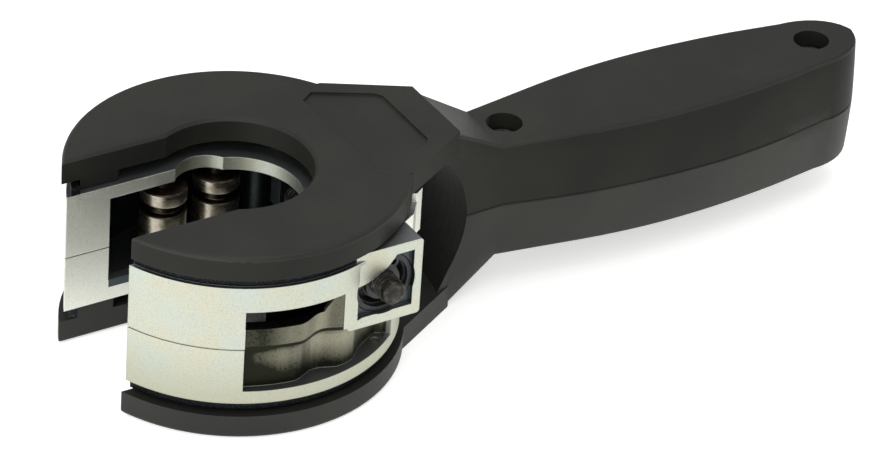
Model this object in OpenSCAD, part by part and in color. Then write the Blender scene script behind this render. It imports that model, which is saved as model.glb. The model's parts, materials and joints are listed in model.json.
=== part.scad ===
// Ratcheting cutter for copper pipe: a C-shaped die-cast head turns between the plates of a moulded handle.
// Frame: origin at the centre of the head, +X along the handle, +Z up, -Y the side of the feed knob.
// The slot opens towards -X. All lengths are in millimetres.

/* [Head drum] */
// Outer radius of the die-cast drum
drum_r = 37.4; // [36.8:0.1:37.9]
// Distance of the raised rim inside the drum's outside
rim_step = 1.0; // [0.6:0.1:1.2]
// Radial thickness of the raised rim that the handle plates guide
rim_t = 2.0; // [1.6:0.1:2.4]
// Height of the raised rim above the flange
rim_rise = 2.2; // [1.8:0.1:2.3]
// Height of the flange face above the middle plane
flange_z = 15.0; // [14.8:0.1:15.1]
// Thickness of the flange
flange_t = 3.2; // [2.6:0.1:3.4]
// Thickness of the drum's round wall
wall_t = 3.0; // [2.4:0.1:3.2]
// Radial depth of the head from the drum's outside to the throat
head_deep = 22.5; // [22.2:0.1:23.4]
// Difference between the throat's radius and half the slot's width
slot_step = 0.3; // [0.1:0.1:0.8]
// Radius of the shallow scallop between the rollers
scallop_r = 7.4; // [6.8:0.1:7.6]
// Distance of the scallop's centre inside the throat's edge
scallop_in = 4.9; // [4.7:0.1:5.5]
// Drop of the joint between the two head halves below the middle plane
parting_drop = 0.8; // [0.4:0.1:1.2]
// Distance from the drum's outside to the inner end of the solid jaw tips
jaw_deep = 13.9; // [11.5:0.1:14.9]
// Height of the lip along the far window of the lower half
lip_h = 2.0; // [1.2:0.1:2.4]
// Thickness of that lip
lip_t = 2.4; // [1.8:0.1:3.0]
// Gap between that lip and the outer roller
lip_gap = 1.3; // [0.9:0.1:1.6]
// Width and depth of the groove along the joint of the two head halves
parting_groove = 0.3; // [0.2:0.05:0.4]

/* [Near window] */
// Angle of the window's end near the jaw tip, from the handle's axis
window_tip_angle = 115.5; // [112:0.5:118]
// Angle of the window's end near the handle
window_end_angle = 50; // [46:0.5:52]
// Height of the window's upper edge
window_top = 8.8; // [8:0.1:9.6]
// Distance from the head's axis to the upper window's end, along the handle
window_end_x = 5.6; // [5:0.1:6.4]
// Length over which the window narrows to a point at that end
window_lean = 2.8; // [2:0.1:3.4]
// Height of the wavy band that crosses the window
band_top = 4.4; // [3.6:0.1:5.2]
// Depth of the trough in the wavy band
wave_depth = 2.3; // [1.6:0.1:2.6]
// Width of the trough
wave_w = 13; // [11:0.5:14]
// Distance of the trough's middle from the head's axis, along the handle
wave_x = 2.0; // [1:0.1:3]
// Thickness of the band at the trough
band_t = 2.2; // [1.8:0.1:2.4]
// Depth of the lower half's wall behind the drum surface, inside the window
recess_in = 2.2; // [1.8:0.1:2.4]
// Thickness of that recessed wall
recess_t = 1.8; // [1.4:0.1:2.0]
// Extra depth of the pocket in that wall under the knob box
pocket_deep = 2.4; // [1.6:0.1:2.6]
// Distance of the pocket's shallow end from the head's axis, along the handle
pocket_start_x = 11; // [10:0.5:12]
// Distance of the pocket's steep end from the head's axis, along the handle
pocket_end_x = 23; // [22:0.5:23.5]
// Diameter of the small hole in the pocket's floor
floor_hole_d = 2.2; // [1.8:0.1:2.4]
// Depth of that hole
floor_hole_deep = 1.4; // [1:0.1:2]
// Angle of that hole from the handle's axis
floor_hole_angle = 55.8; // [54:0.1:57]

/* [Knob box] */
// Distance of the box's front face inside the drum's outermost line
box_inset = 2.1; // [1.4:0.1:2.4]
// Distance from the feed screw to the box's outer side
box_side = 9.1; // [8.9:0.1:9.6]
// Height of the box's roof
box_top = 16.8; // [16.6:0.1:17.2]
// Depth of the box's floor below the middle plane
box_drop = 2.6; // [2.2:0.1:3.0]
// Width of the opening in the box's face
box_open_w = 14.0; // [13.4:0.1:14.6]
// Height of that opening
box_open_h = 14.2; // [13.6:0.1:14.6]
// Radius of the brow that closes the opening's upper corner beside the feed screw
brow_r = 13.1; // [11:0.1:15]
// Thickness of that brow
brow_t = 0.7; // [0.5:0.1:0.8]
// Gap between the brow and the feed screw
brow_gap = 0.4; // [0.3:0.1:0.8]
// Direction from the feed screw to the brow, from the handle's axis
brow_angle = 121; // [110:1:135]
// Thickness of the wall behind the knob that carries the feed screw
bearing_wall_t = 4.4; // [3.4:0.1:4.6]

// Rounding of the box's corners
box_round = 0.9; // [0.6:0.1:1.2]
// Height of the lower end of the web beside the box
web_low = 6.3; // [5:0.1:7]
// Height of that web's upper end
web_top = 17.2; // [16.8:0.1:17.3]
// Reach of that web beyond the drum
web_reach = 3.4; // [3:0.1:4]

/* [Feed screw and knob] */
// Gap between the carriage's fork and the knob box
fork_gap = 2.75; // [2.55:0.05:3.05]
// Height of the feed screw above the middle plane
feed_z = 7.2; // [7:0.1:7.3]
// Diameter of the feed screw
feed_d = 6.0; // [5.5:0.1:6.4]
// Length of screw that stands out in front of the box's face
feed_stand_out = 4.3; // [3.5:0.1:5]
// Radius of the knob
knob_r = 7.3; // [7.1:0.1:7.4]
// Length of the knob along the screw
knob_len = 3.6; // [3.0:0.1:3.8]
// Depth of the knob's front behind the box's face
knob_recess = 1.1; // [0.6:0.1:1.3]
// Radius of the knob's hub
knob_hub_r = 4.2; // [3.9:0.1:4.4]
// Depth of the dish between the knob's rim and its hub
knob_dish = 1.3; // [1.0:0.1:1.5]
// Radial width of the knob's rim
knob_rim_t = 1.1; // [0.9:0.1:1.3]
// Radial width of the knob's two crescent slots
knob_slot_w = 1.3; // [1:0.1:1.5]
// Diameter of the small hole in the knob
knob_hole_d = 1.4; // [1.2:0.1:1.5]
// Diameter of the cross pin that holds the knob on the screw
knob_pin_d = 1.5; // [1.2:0.1:1.8]
// Thickness of the thrust washer
washer_t = 0.8; // [0.6:0.1:0.9]
// Thickness of the retaining ring
ring_t = 0.7; // [0.5:0.1:0.8]
// Depth of the retaining ring's groove in the screw
ring_groove = 0.6; // [0.4:0.1:0.7]
// Diameter of the journal at the screw's inner end
journal_d = 4.0; // [3.5:0.1:4.4]
// Length of the bearing block at the screw's inner end
block_len = 4.0; // [3:0.1:4.4]

/* [Cutter wheel and carriage] */
// Gap along the feed between the closed wheel's edge and the rollers' faces
close_gap = 2.0; // [2:0.1:3.5]
// Radius of the cutter wheel
wheel_r = 8.5; // [8:0.1:8.6]
// Thickness of the wheel's hub
wheel_hub_t = 5.0; // [4.4:0.1:5.2]
// Radius of the wheel's hub
wheel_hub_r = 4.4; // [4:0.1:4.8]
// Thickness of the wheel where its edge begins
wheel_blade_t = 1.2; // [0.9:0.1:1.4]
// Distance of the open wheel's axis outside the throat
wheel_out = 4.0; // [3.7:0.1:4.2]
// Diameter of the wheel's pin
wheel_pin_d = 4.0; // [3.6:0.1:4.4]
// Half the width of the carriage's fork
fork_half = 7.5; // [7:0.1:7.8]
// Thickness of the carriage's back
fork_back_t = 2.7; // [2.2:0.1:3]
// Distance from the wheel's axis to the front of the fork
fork_front = 4.3; // [3.9:0.1:4.3]
// Length of the carriage's nut
nut_len = 7.9; // [7:0.1:7.9]

/* [Rollers] */
// Radius of a roller
roller_r = 5.3; // [5:0.1:5.4]
// Height of a roller's upper end
roller_top = 9.5; // [9.2:0.1:9.8]
// Height of the upper band of a roller
roller_band = 3.4; // [3:0.1:3.8]
// Width of the groove that the cutter wheel enters
groove_w = 2.4; // [2:0.1:2.8]
// Depth of that groove
groove_deep = 1.8; // [1.2:0.1:2.2]
// Distance between the axes of the two rollers
roller_gap = 13.3; // [13:0.1:13.6]
// Distance of the pair's middle from the head's axis, towards the slot
roller_mid_x = 1.65; // [1.2:0.05:2]
// Distance of the rollers' axes outside the throat's edge
roller_out = 3.0; // [2.8:0.1:3.3]
// Diameter of a roller's pin
roller_pin_d = 3.0; // [2.6:0.1:3.2]

/* [Handle plates] */
// Overhang of the handle's round plates beyond the drum
plate_over = 1.1; // [0.8:0.1:2.1]
// Height of the outer face of a plate
plate_z = 23.5; // [23:0.1:24.5]
// Thickness of a plate
plate_t = 5.8; // [5.5:0.1:6]
// Rounding of a plate's outer edge
plate_round = 1.2; // [0.8:0.1:1.6]
// Distance of the upper plate's slot edges outside the head's slot
slot_over = 1.6; // [1.2:0.1:2]
// Distance of the lower plate's slot edges outside the head's slot
slot_over_lower = 0.2; // [0.1:0.1:2]
// Distance of the plates' throat outside the head's throat
throat_over = 3.1; // [2.7:0.1:3.5]
// Distance of that throat's centre from the head's axis, towards the slot
plate_throat_x = 1.2; // [0.6:0.1:1.6]
// Chamfer along the slot and throat
slot_chamfer = 0.7; // [0.4:0.1:0.9]
// Inner radius of the guide ring under each plate
guide_in_r = 26.5; // [25:0.5:27.5]

/* [Shoulder and neck] */
// Length of the shoulder beyond the round plates
shoulder_len = 11.9; // [11.5:0.1:13.5]
// Half the width of the shoulder's end
shoulder_half = 10.4; // [10:0.1:10.8]
// Distance of the shoulder's inner corner inside the plates' outermost line
shoulder_root_in = 6.1; // [5.5:0.1:7]
// Half the width of the shoulder at that corner
shoulder_root_half = 20.6; // [19.8:0.1:21]
// Length of the slope from the shoulder down to the grip
slope_len = 14; // [12:0.1:15]
// Distance of the neck's opening outside the round plates
neck_out = 9.3; // [8.9:0.1:9.9]
// Extra radius of the neck's opening at the middle plane
neck_bulge = 7.0; // [6:0.1:7.4]
// Depth of the bare panel on the shoulder
panel_deep = 0.5; // [0.3:0.1:0.8]

/* [Grip] */
// Length of the grip behind the slope
grip_len = 100.2; // [92:0.2:108]
// Height of the grip's faces
grip_z = 14.8; // [14.2:0.1:15.6]
// Largest half width of the grip
grip_half = 15.8; // [15:0.1:16.4]
// Rounding along the grip's edges
grip_edge = 0.8; // [0.5:0.1:1.2]
// Distance from the grip's end to the start of its round end
grip_cap = 13.8; // [11:0.1:15]
// Width and depth of the groove on each shell's edge at the seam
seam_groove = 0.35; // [0.25:0.05:0.5]
// Wall of the hollow grip
grip_wall = 3.0; // [2.4:0.1:3.4]

/* [Handle screws] */
// Distance of the front screw behind the slope
screw_front_in = 5.3; // [5:0.1:6.5]
// Distance of the rear screw from the grip's end
screw_rear_in = 11.2; // [10.5:0.1:12]
// Diameter of the recess over a screw
recess_d = 8.4; // [8:0.1:9]
// Depth of that recess
recess_deep = 7.0; // [6:0.1:8.5]
// Diameter of a screw's head
screw_head_d = 7.2; // [6.6:0.1:7.6]
// Height of a screw's head
screw_head_h = 3.0; // [2.4:0.1:3.2]
// Diameter of a screw's shank
screw_d = 3.8; // [3.4:0.1:4.2]
// Depth that a screw reaches into the lower shell
screw_reach = 9; // [7:0.5:10]
// Radius of the boss round a screw
boss_r = 6.2; // [5.6:0.1:6.6]
// Diameter of the hexagon socket in a screw's head
socket_d = 3.4; // [3:0.1:3.6]
// Depth of that socket
socket_deep = 1.6; // [1.2:0.1:1.8]

/* [Ratchet] */
// Number of ratchet teeth round the inside of the raised rim
ratchet_teeth = 72; // [72:72:144]
// Depth of a ratchet tooth
tooth_deep = 0.7; // [0.5:0.05:0.8]
// Angle of each pawl from the handle's axis
pawl_angle = 38; // [36:0.5:42]
// Width of a pawl
pawl_w = 5.2; // [4.6:0.1:5.6]
// Length of a pawl
pawl_len = 8.6; // [8:0.1:9]
// Height of a pawl
pawl_h = 3.8; // [3.2:0.1:4]
// Travel of a pawl as it rides over a tooth
pawl_lift = 1.0; // [0.8:0.05:1.1]
// Outer diameter of a pawl's spring
spring_d = 3.0; // [2.4:0.1:3.2]
// Wire of that spring
spring_wire = 0.45; // [0.3:0.05:0.5]
// Length of that spring at rest
spring_len = 4.6; // [4:0.1:5]

/* [Head screws] */
// Diameter of a screw that joins the head halves
head_screw_d = 3.0; // [2.6:0.1:3.4]
// Diameter of its head
head_screw_head_d = 5.4; // [5:0.1:5.8]
// Height of its head
head_screw_head_h = 1.8; // [1.5:0.1:2]
// Reach of the screw above the joint of the halves
head_screw_reach = 7; // [5:0.5:8]
// Radius of the posts that the screws go into
post_r = 3.4; // [3.2:0.1:3.6]
// Distance of the posts' axes inside the drum's round wall
post_in = 6.2; // [6:0.1:6.5]
// Distance of the jaw-tip screws inside the drum's outside
tip_screw_in = 4.0; // [3.8:0.1:4.4]
// Distance of the jaw-tip screws outside the slot
tip_screw_out = 4.2; // [3.9:0.1:4.6]

/* [Fits] */
// Gap between a part and the seat it rests on
seat_gap = 0.3; // [0.25:0.05:0.4]
// Gap round the handle's guide rings inside the raised rims
guide_gap = 0.09; // [0.06:0.01:0.1]
// Radial gap of a part that turns on its pin
turn_gap = 0.05; // [0.03:0.01:0.08]
// Radial gap of a part pressed or screwed into its hole
press_gap = 0.02; // [0.01:0.01:0.03]
// Gap on each side of a part that slides
slide_gap = 0.15; // [0.1:0.05:0.2]

/* [Hidden] */
$fn = 96;

// Overrun of every cut past the face that it opens
cut_over = 4;
// Half the width of the bearing block at the screw's inner end
block_side = 3.6;
// Depth that a roller's pin reaches into each flange
pin_seat = 1.8;
// Radial width of the collar on a roller's pin
pin_collar_t = 0.7;
// Bevel of turned parts
turned_bevel = 0.4;
// Depth that the wheel's pin reaches below the wheel
wheel_pin_seat = 5;
// Width of the wheel's sharpened edge
wheel_edge = 1.8;
// Radius of the retaining ring beyond the screw
ring_over = 1.1;
// Width of the retaining ring's mouth
ring_mouth = 3.6;
// Room between a roller pin and the end of its blind hole
pin_end_gap = 0.02;
// Lengths of the pocket's shallow and steep ends
pocket_ramp = 5;
pocket_step = 2.5;
// Thickness of the ribs in the grip
rib_t = 1.6;
// Diameter and half length of the dowels between the head halves
dowel_d = 1.8;
dowel_half = 4;
// Angles of the two posts from the handle's axis
post_angles = [-8.1, 51.5];
// Angles of the web's plan from the handle's axis: start, knee, step, outer corner and end
web_angles = [-54, -37.5, -30.4, -26.9, -12];
// Angles of the dowels between the head halves from the handle's axis
dowel_angles = [95, 8];
// Start and length of the knob's crescent slots, and the place of its small hole, as angles
knob_slots = [[-27, 68], [-165, 82]];
knob_hole_angle = 62;
// Shares: the web's reach at its knee and its step, the neck's start along the shoulder, the corner's
// rounding, the last slice of the grip's end, the steep flank of a ratchet tooth, and the width and depth
// of a head screw's socket
knee_share = 0.53;
step_share = 0.63;
neck_share = 0.6;
corner_share = 0.3;
end_share = 0.3;
flank_share = 0.15;
socket_share_d = 0.8;
socket_share_deep = 0.6;
// Columns of half widths: at the grip's face and at its seam
FACE = 1;
SEAM = 2;

// The head and what is placed from its throat
throat_r = drum_r - head_deep;
slot_half = throat_r - slot_step;
scallop_y = throat_r - scallop_in;
jaw_block_x = drum_r - jaw_deep;
box_face_y = drum_r - box_inset;
feed_x = fork_half - roller_mid_x + fork_gap + box_side;
wheel_y = throat_r + wheel_out;
roller_y = throat_r + roller_out;
feed_travel = wheel_y + roller_y - wheel_r - roller_r - close_gap;
// The handle and what is placed from its plates
plate_r = drum_r + plate_over;
plate_throat_r = throat_r + throat_over;
shoulder_x = plate_r + shoulder_len;
shoulder_root_x = plate_r - shoulder_root_in;
neck_r = plate_r + neck_out;
// Heights
rim_z = flange_z + rim_rise;
floor_z = flange_z - flange_t;
carriage_z = floor_z - seat_gap;
plate_under_z = plate_z - plate_t;
guide_z = flange_z + seat_gap;
wheel_z = roller_top - roller_band - groove_w / 2;
// Radii
rim_r = drum_r - rim_step;
rim_in_r = rim_r - rim_t;
wall_in_r = drum_r - wall_t;
guide_r = rim_in_r - guide_gap;
tooth_root_r = rim_in_r + tooth_deep;
clear_r = (tooth_root_r + rim_r) / 2;
web_radii = [rim_r, drum_r + web_reach * knee_share, drum_r + web_reach * step_share,
    drum_r + web_reach, rim_r];
pocket_r = knob_r + slide_gap;
feed_r = feed_d / 2;
nut_r = carriage_z - feed_z;
floor_hole_r = drum_r - recess_in;
// Places along the feed screw, from the head's axis
knob_y = knob_recess - box_face_y;
wall_y = knob_y + knob_len + seat_gap;
washer_y = wall_y + bearing_wall_t + slide_gap;
ring_y = washer_y + washer_t + press_gap;
nut_y = ring_y + ring_t + seat_gap;
block_y = nut_y + nut_len + feed_travel + seat_gap;
screw_tip_y = -box_face_y - feed_stand_out;
screw_end_y = block_y + block_len - seat_gap;
// The cutter wheel
wheel_x = -roller_mid_x;
wheel_room_r = wheel_r + seat_gap;
fork_back_y = -wheel_y - wheel_room_r - fork_back_t;
fork_front_y = fork_front - wheel_y;
// The grip
slope_start_x = shoulder_x - grip_edge;
slope_x = slope_start_x + slope_len;
grip_end_x = slope_x + grip_len;
cap_x = grip_end_x - grip_cap;
screw_front_x = slope_x + screw_front_in;
screw_rear_x = grip_end_x - screw_rear_in;
// Half widths along the grip: share of its length, share of the width at the face, share at the seam
grip_shares = [[0, 0.519, 0.622], [0.1, 0.603, 0.742], [0.2, 0.69, 0.845], [0.3, 0.769, 0.918],
    [0.42, 0.829, 0.975], [0.54, 0.848, 1], [0.68, 0.823, 0.99], [0.84, 0.747, 0.899], [1, 0.618, 0.737]];
// Corners of the panel: share of the shoulder's length, share of its half width
panel_shares = [[0.5, 0.767], [0.569, 0.88], [0.82, 0.558], [0.841, 0.476]];
// Ribs of the grip: share of its length
rib_shares = [0.2, 0.38, 0.56, 0.74, 0.88];
// Steps of the curves
wave_steps = 28;
neck_steps = 12;
side_steps = 4;
grip_steps = 20;
cap_steps = 9;

// Cubic interpolation in column c of table t at place x
function cell(t, x, i = 0) = i >= len(t) - 2 || x < t[i + 1][0] ? i : cell(t, x, i + 1);
function lean(t, c, i) =
    let(a = max(i - 1, 0), b = min(i + 1, len(t) - 1))
    (t[b][c] - t[a][c]) / (t[b][0] - t[a][0]);
function curve(t, c, x) =
    let(i = cell(t, x), h = t[i + 1][0] - t[i][0], u = (x - t[i][0]) / h)
    t[i][c] * (1 + 2 * u) * pow(1 - u, 2) + t[i + 1][c] * u * u * (3 - 2 * u)
    + lean(t, c, i) * h * u * pow(1 - u, 2) - lean(t, c, i + 1) * h * u * u * (1 - u);

// Half width of the handle at x, in column c
function shoulder_edge(x) =
    shoulder_half + (shoulder_x - x) * (shoulder_root_half - shoulder_half) / (shoulder_x - shoulder_root_x);
function grip_share(x) = (x - slope_x) / (cap_x - slope_x);
function neck_start(x, c) = c == FACE ? shoulder_edge(x) - corner_share * grip_edge : shoulder_half;
function neck_half(x, c) =
    x <= slope_start_x ? neck_start(x, c)
    : let(w = neck_start(slope_start_x, c))
        w + (grip_half * grip_shares[0][c] - w) * (x - slope_start_x) / slope_len;
function cap_share(x) = sqrt(1 - pow((x - cap_x) / grip_cap, 2));
function half_width(x, c) =
    x < slope_x ? neck_half(x, c)
    : x <= cap_x ? grip_half * curve(grip_shares, c, grip_share(x))
    : grip_half * grip_shares[len(grip_shares) - 1][c] * cap_share(x);
slope_top_z = plate_z - plate_round / 2;
function top_z(x) =
    x <= slope_start_x ? slope_top_z
    : x >= slope_x ? grip_z
    : slope_top_z + (grip_z - slope_top_z) * (x - slope_start_x) / slope_len;

// One side of the handle's section at x, from the seam up to the face
function side(x) =
    let(ws = half_width(x, SEAM), wt = half_width(x, FACE), z = top_z(x), e = min(grip_edge, wt / 2),
        g = min(seam_groove, ws / 2))
    concat(
        [[ws - g, 0], [ws, g]],
        [for (k = [1:side_steps]) let(s = k / side_steps) [ws + (wt - ws) * s * (1 + s) / 2, (z - e) * s]],
        [[wt - corner_share * e, z - corner_share * e], [wt - e, z]]);
function section(x) =
    let(s = side(x), n = len(s) - 1)
    concat([for (k = [0:n]) [x, -s[k][0], s[k][1]]], [for (k = [0:n]) [x, s[n - k][0], s[n - k][1]]]);
neck_x = shoulder_root_x + (shoulder_x - shoulder_root_x) * neck_share;
stations = concat(
    [for (k = [0:2]) neck_x + (slope_start_x - neck_x) * k / 3],
    [for (k = [0:3]) slope_start_x + slope_len * k / 4],
    [for (k = [0:grip_steps]) slope_x + (cap_x - slope_x) * k / grip_steps],
    [for (k = [1:cap_steps]) cap_x + grip_cap * sin(90 * k / (cap_steps + end_share))]);

module handle_loft() {
    rings = [for (x = stations) section(x)];
    n = len(rings[0]);
    last = len(rings) - 1;
    polyhedron(
        points = [for (r = rings) each r],
        faces = concat(
            [[for (k = [0:n - 1]) n - 1 - k]],
            [for (i = [0:last - 1], k = [0:n - 1])
                each [[i * n + k, i * n + (k + 1) % n, (i + 1) * n + k],
                    [i * n + (k + 1) % n, (i + 1) * n + (k + 1) % n, (i + 1) * n + k]]],
            [[for (k = [0:n - 1]) last * n + k]]),
        convexity = 6);
}

// A straight slot towards -X with a round throat at its end
module slot(half, r, shift, z0, z1) {
    translate([-shift, 0, z0]) cylinder(r = r, h = z1 - z0);
    translate([-plate_r - cut_over, -half, z0]) cube([plate_r + cut_over - shift, 2 * half, z1 - z0]);
}

// The bevel along the outer edge of a plate's slot
module slot_bevel(half) {
    c = slot_chamfer;
    translate([-plate_throat_x, 0, plate_z - c])
        cylinder(r1 = plate_throat_r, r2 = plate_throat_r + 2 * c, h = 2 * c);
    translate([-plate_r - cut_over, 0, plate_z - c]) rotate([90, 0, 90])
        linear_extrude(plate_r + cut_over - plate_throat_x)
            polygon([[-half, 0], [-half - 2 * c, 2 * c], [half + 2 * c, 2 * c], [half, 0]]);
}

// The round plate with its rounded outer edge
module plate_disc() {
    translate([0, 0, plate_under_z]) rotate_extrude() union() {
        square([plate_r - plate_round, plate_t]);
        square([plate_r, plate_t - plate_round]);
        translate([plate_r - plate_round, plate_t - plate_round]) circle(plate_round);
    }
}

module shoulder() {
    translate([0, 0, plate_under_z]) linear_extrude(plate_t)
        polygon([[0, -shoulder_root_half], [shoulder_root_x, -shoulder_root_half],
            [shoulder_x, -shoulder_half], [shoulder_x, shoulder_half],
            [shoulder_root_x, shoulder_root_half], [0, shoulder_root_half]]);
}

// The room between the plates that the drum and its knob box sweep
module neck_room() {
    rotate_extrude() polygon(concat(
        [[0, -plate_under_z]],
        [for (k = [-neck_steps:neck_steps]) let(s = k / neck_steps)
            [neck_r + neck_bulge * (1 - s * s), plate_under_z * s]],
        [[neck_r, plate_under_z + plate_round], [0, plate_under_z + plate_round]]));
}

module guide_ring() {
    translate([0, 0, guide_z]) difference() {
        cylinder(r = guide_r, h = plate_under_z - guide_z + plate_round);
        translate([0, 0, -cut_over]) cylinder(r = guide_in_r, h = plate_under_z - guide_z + cut_over);
    }
}

module grip_hollow() {
    x0 = slope_x + grip_wall;
    xs = concat([for (k = [0:grip_steps]) x0 + (cap_x - x0) * k / grip_steps],
        [for (k = [1:cap_steps - 1]) cap_x + (grip_cap - grip_wall) * sin(90 * k / cap_steps)]);
    difference() {
        translate([0, 0, -cut_over]) linear_extrude(grip_z - grip_wall + cut_over)
            polygon(concat([for (x = xs) [x, half_width(x, FACE) - grip_wall]],
                [for (k = [1:len(xs)]) let(x = xs[len(xs) - k]) [x, grip_wall - half_width(x, FACE)]]));
        for (x = [screw_front_x, screw_rear_x])
            translate([x, 0, -2 * cut_over]) cylinder(r = boss_r, h = grip_z + 2 * cut_over);
        for (s = rib_shares)
            translate([slope_x + (grip_end_x - slope_x) * s, -grip_half, -2 * cut_over])
                cube([rib_t, 2 * grip_half, grip_z + 2 * cut_over]);
    }
}

// What both handle shells have, as the upper one, with a slot of the given half width
module shell_body(half) {
    difference() {
        union() {
            plate_disc();
            shoulder();
            difference() {
                handle_loft();
                neck_room();
            }
            guide_ring();
        }
        slot(half, plate_throat_r, plate_throat_x, 0, plate_z + cut_over);
        slot_bevel(half);
        grip_hollow();
    }
}

// Stands children at the pawl on the given side, with +X pointing out from the head's axis
module at_pawl(side) {
    rotate([0, 0, side * pawl_angle]) children();
}

pawl_z = guide_z;
pawl_out_r = tooth_root_r + seat_gap;
pawl_in_r = tooth_root_r - pawl_len;
spring_in_r = pawl_in_r - spring_len;

module pawl_channel() {
    translate([spring_in_r, -pawl_w / 2 - slide_gap, pawl_z - cut_over])
        cube([pawl_out_r - spring_in_r, pawl_w + 2 * slide_gap, pawl_h + slide_gap + cut_over]);
}

module handle_shell_upper() {
    color("#2b2c29") difference() {
        shell_body(slot_half + slot_over);
        for (side = [-1, 1]) at_pawl(side) pawl_channel();
        for (x = [screw_front_x, screw_rear_x]) translate([x, 0, 0]) {
            translate([0, 0, grip_z - recess_deep]) cylinder(d = recess_d, h = recess_deep + cut_over);
            translate([0, 0, -cut_over]) cylinder(r = screw_d / 2 + slide_gap, h = grip_z + cut_over);
        }
        translate([0, 0, plate_z - panel_deep]) linear_extrude(panel_deep + cut_over)
            polygon(concat(
                [for (p = panel_shares) [p[0] * shoulder_x, p[1] * shoulder_root_half]],
                [for (k = [1:len(panel_shares)]) let(p = panel_shares[len(panel_shares) - k])
                    [p[0] * shoulder_x, -p[1] * shoulder_root_half]]));
    }
}

module handle_shell_lower() {
    color("#2b2c29") difference() {
        mirror([0, 0, 1]) shell_body(slot_half + slot_over_lower);
        for (x = [screw_front_x, screw_rear_x])
            translate([x, 0, -screw_reach - seat_gap])
                cylinder(r = screw_d / 2 + press_gap, h = screw_reach + cut_over);
    }
}

module handle_screw(x) {
    color("silver") translate([x, 0, 0]) difference() {
        union() {
            translate([0, 0, grip_z - recess_deep]) cylinder(d = screw_head_d, h = screw_head_h);
            translate([0, 0, -screw_reach]) cylinder(d = screw_d, h = screw_reach + grip_z - recess_deep);
        }
        translate([0, 0, grip_z - recess_deep + screw_head_h - socket_deep])
            cylinder(d = socket_d, h = socket_deep + cut_over, $fn = 6);
    }
}

module handle_screw_front() { handle_screw(screw_front_x); }
module handle_screw_rear() { handle_screw(screw_rear_x); }

// Outline inside the ratchet teeth, with a gap g to them
function tooth_points(g) = [for (i = [0:ratchet_teeth - 1]) let(p = 360 / ratchet_teeth, a = i * p)
    each [[(rim_in_r - g) * cos(a), (rim_in_r - g) * sin(a)],
        let(b = a + flank_share * p) [(tooth_root_r - g) * cos(b), (tooth_root_r - g) * sin(b)]]];

module ratchet_pawl(side) {
    color("dimgray") translate([0, 0, pawl_z]) linear_extrude(pawl_h) intersection() {
        polygon(tooth_points(slide_gap));
        at_pawl(side) translate([pawl_in_r, -pawl_w / 2]) square([pawl_len, pawl_w]);
    }
}

module ratchet_pawl_left() { ratchet_pawl(1); }
module ratchet_pawl_right() { ratchet_pawl(-1); }

module pawl_spring(side) {
    color("silver") at_pawl(side) translate([spring_in_r, 0, pawl_z + pawl_h / 2]) rotate([0, 90, 0])
        difference() {
            cylinder(d = spring_d, h = spring_len);
            translate([0, 0, -cut_over])
                cylinder(d = spring_d - 2 * spring_wire, h = spring_len + 2 * cut_over);
        }
}

module pawl_spring_left() { pawl_spring(1); }
module pawl_spring_right() { pawl_spring(-1); }

// Depth at x of the trough, and of the pocket under the knob box
function wave(x) =
    abs(x - wave_x) > wave_w / 2 ? 0 : wave_depth * (1 + cos(360 * (x - wave_x) / wave_w)) / 2;
function ease(u) = let(c = min(max(u, 0), 1)) c * c * (3 - 2 * c);
function pocket(x) =
    pocket_deep * ease((x - pocket_start_x) / pocket_ramp) * ease((pocket_end_x - x) / pocket_step);
// Plan of the drum wall's outer line inside the near window, set back by b and by a share of the pocket
function wave_line(x0, x1, b, share) = [for (k = [0:wave_steps]) let(x = x0 + (x1 - x0) * k / wave_steps)
    [x, b + wave(x) + share * pocket(x) - sqrt(drum_r * drum_r - x * x)]];
function turned(points) = [for (k = [1:len(points)]) points[len(points) - k]];

module band(x0, x1, b, t, z0, z1, share = 0) {
    translate([0, 0, z0]) linear_extrude(z1 - z0)
        polygon(concat(wave_line(x0, x1, b, share), turned(wave_line(x0, x1, b + t, share))));
}

module trough() {
    x0 = wave_x - wave_w / 2;
    x1 = wave_x + wave_w / 2;
    translate([0, 0, -floor_z]) linear_extrude(floor_z + window_top)
        polygon(concat(wave_line(x0, x1, 0, 0), [[x1, -drum_r - cut_over], [x0, -drum_r - cut_over]]));
}

// A sector of the near side between the tip's end of the window and the line from a to b
module window_room(a, b, z0, z1) {
    far = 2 * drum_r;
    translate([0, 0, z0]) linear_extrude(z1 - z0)
        polygon([[0, 0], [-far * sin(window_tip_angle - 90), -far * cos(window_tip_angle - 90)], b, a]);
}

// The wall that rises from the band to the window's pointed end
module window_slope() {
    lean = [window_lean, window_top - band_top];
    end = [window_end_x, window_top];
    rotate([90, 0, 0]) linear_extrude(2 * drum_r)
        polygon([end - 2 * lean, end + lean, [end[0] + lean[0], end[1] - 2 * lean[1]]]);
}

module drum_ring(r, z0, z1) {
    translate([0, 0, z0]) difference() {
        cylinder(r = drum_r, h = z1 - z0);
        translate([0, 0, -cut_over]) cylinder(r = r, h = z1 - z0 + 2 * cut_over);
    }
}

module jaw_tips(z0, z1) {
    x0 = -drum_r - cut_over;
    translate([0, 0, z0]) intersection() {
        cylinder(r = drum_r, h = z1 - z0);
        translate([x0, -drum_r, 0]) cube([-jaw_block_x - x0, 2 * drum_r, z1 - z0]);
    }
}

module toothed_rim() {
    translate([0, 0, flange_z]) linear_extrude(rim_rise) difference() {
        circle(rim_r);
        polygon(tooth_points(0));
    }
}

// Flange, rim, round wall and jaw tips of the half above the middle plane, down to z0
module drum(z0) {
    difference() {
        union() {
            translate([0, 0, floor_z]) cylinder(r = drum_r, h = flange_t);
            toothed_rim();
            drum_ring(wall_in_r, z0, floor_z);
            jaw_tips(z0, floor_z);
        }
        slot(slot_half, throat_r, 0, z0 - cut_over, rim_z + cut_over);
        translate([wheel_x, scallop_y, floor_z - cut_over])
            cylinder(r = scallop_r, h = flange_t + 2 * cut_over);
    }
}

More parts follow.
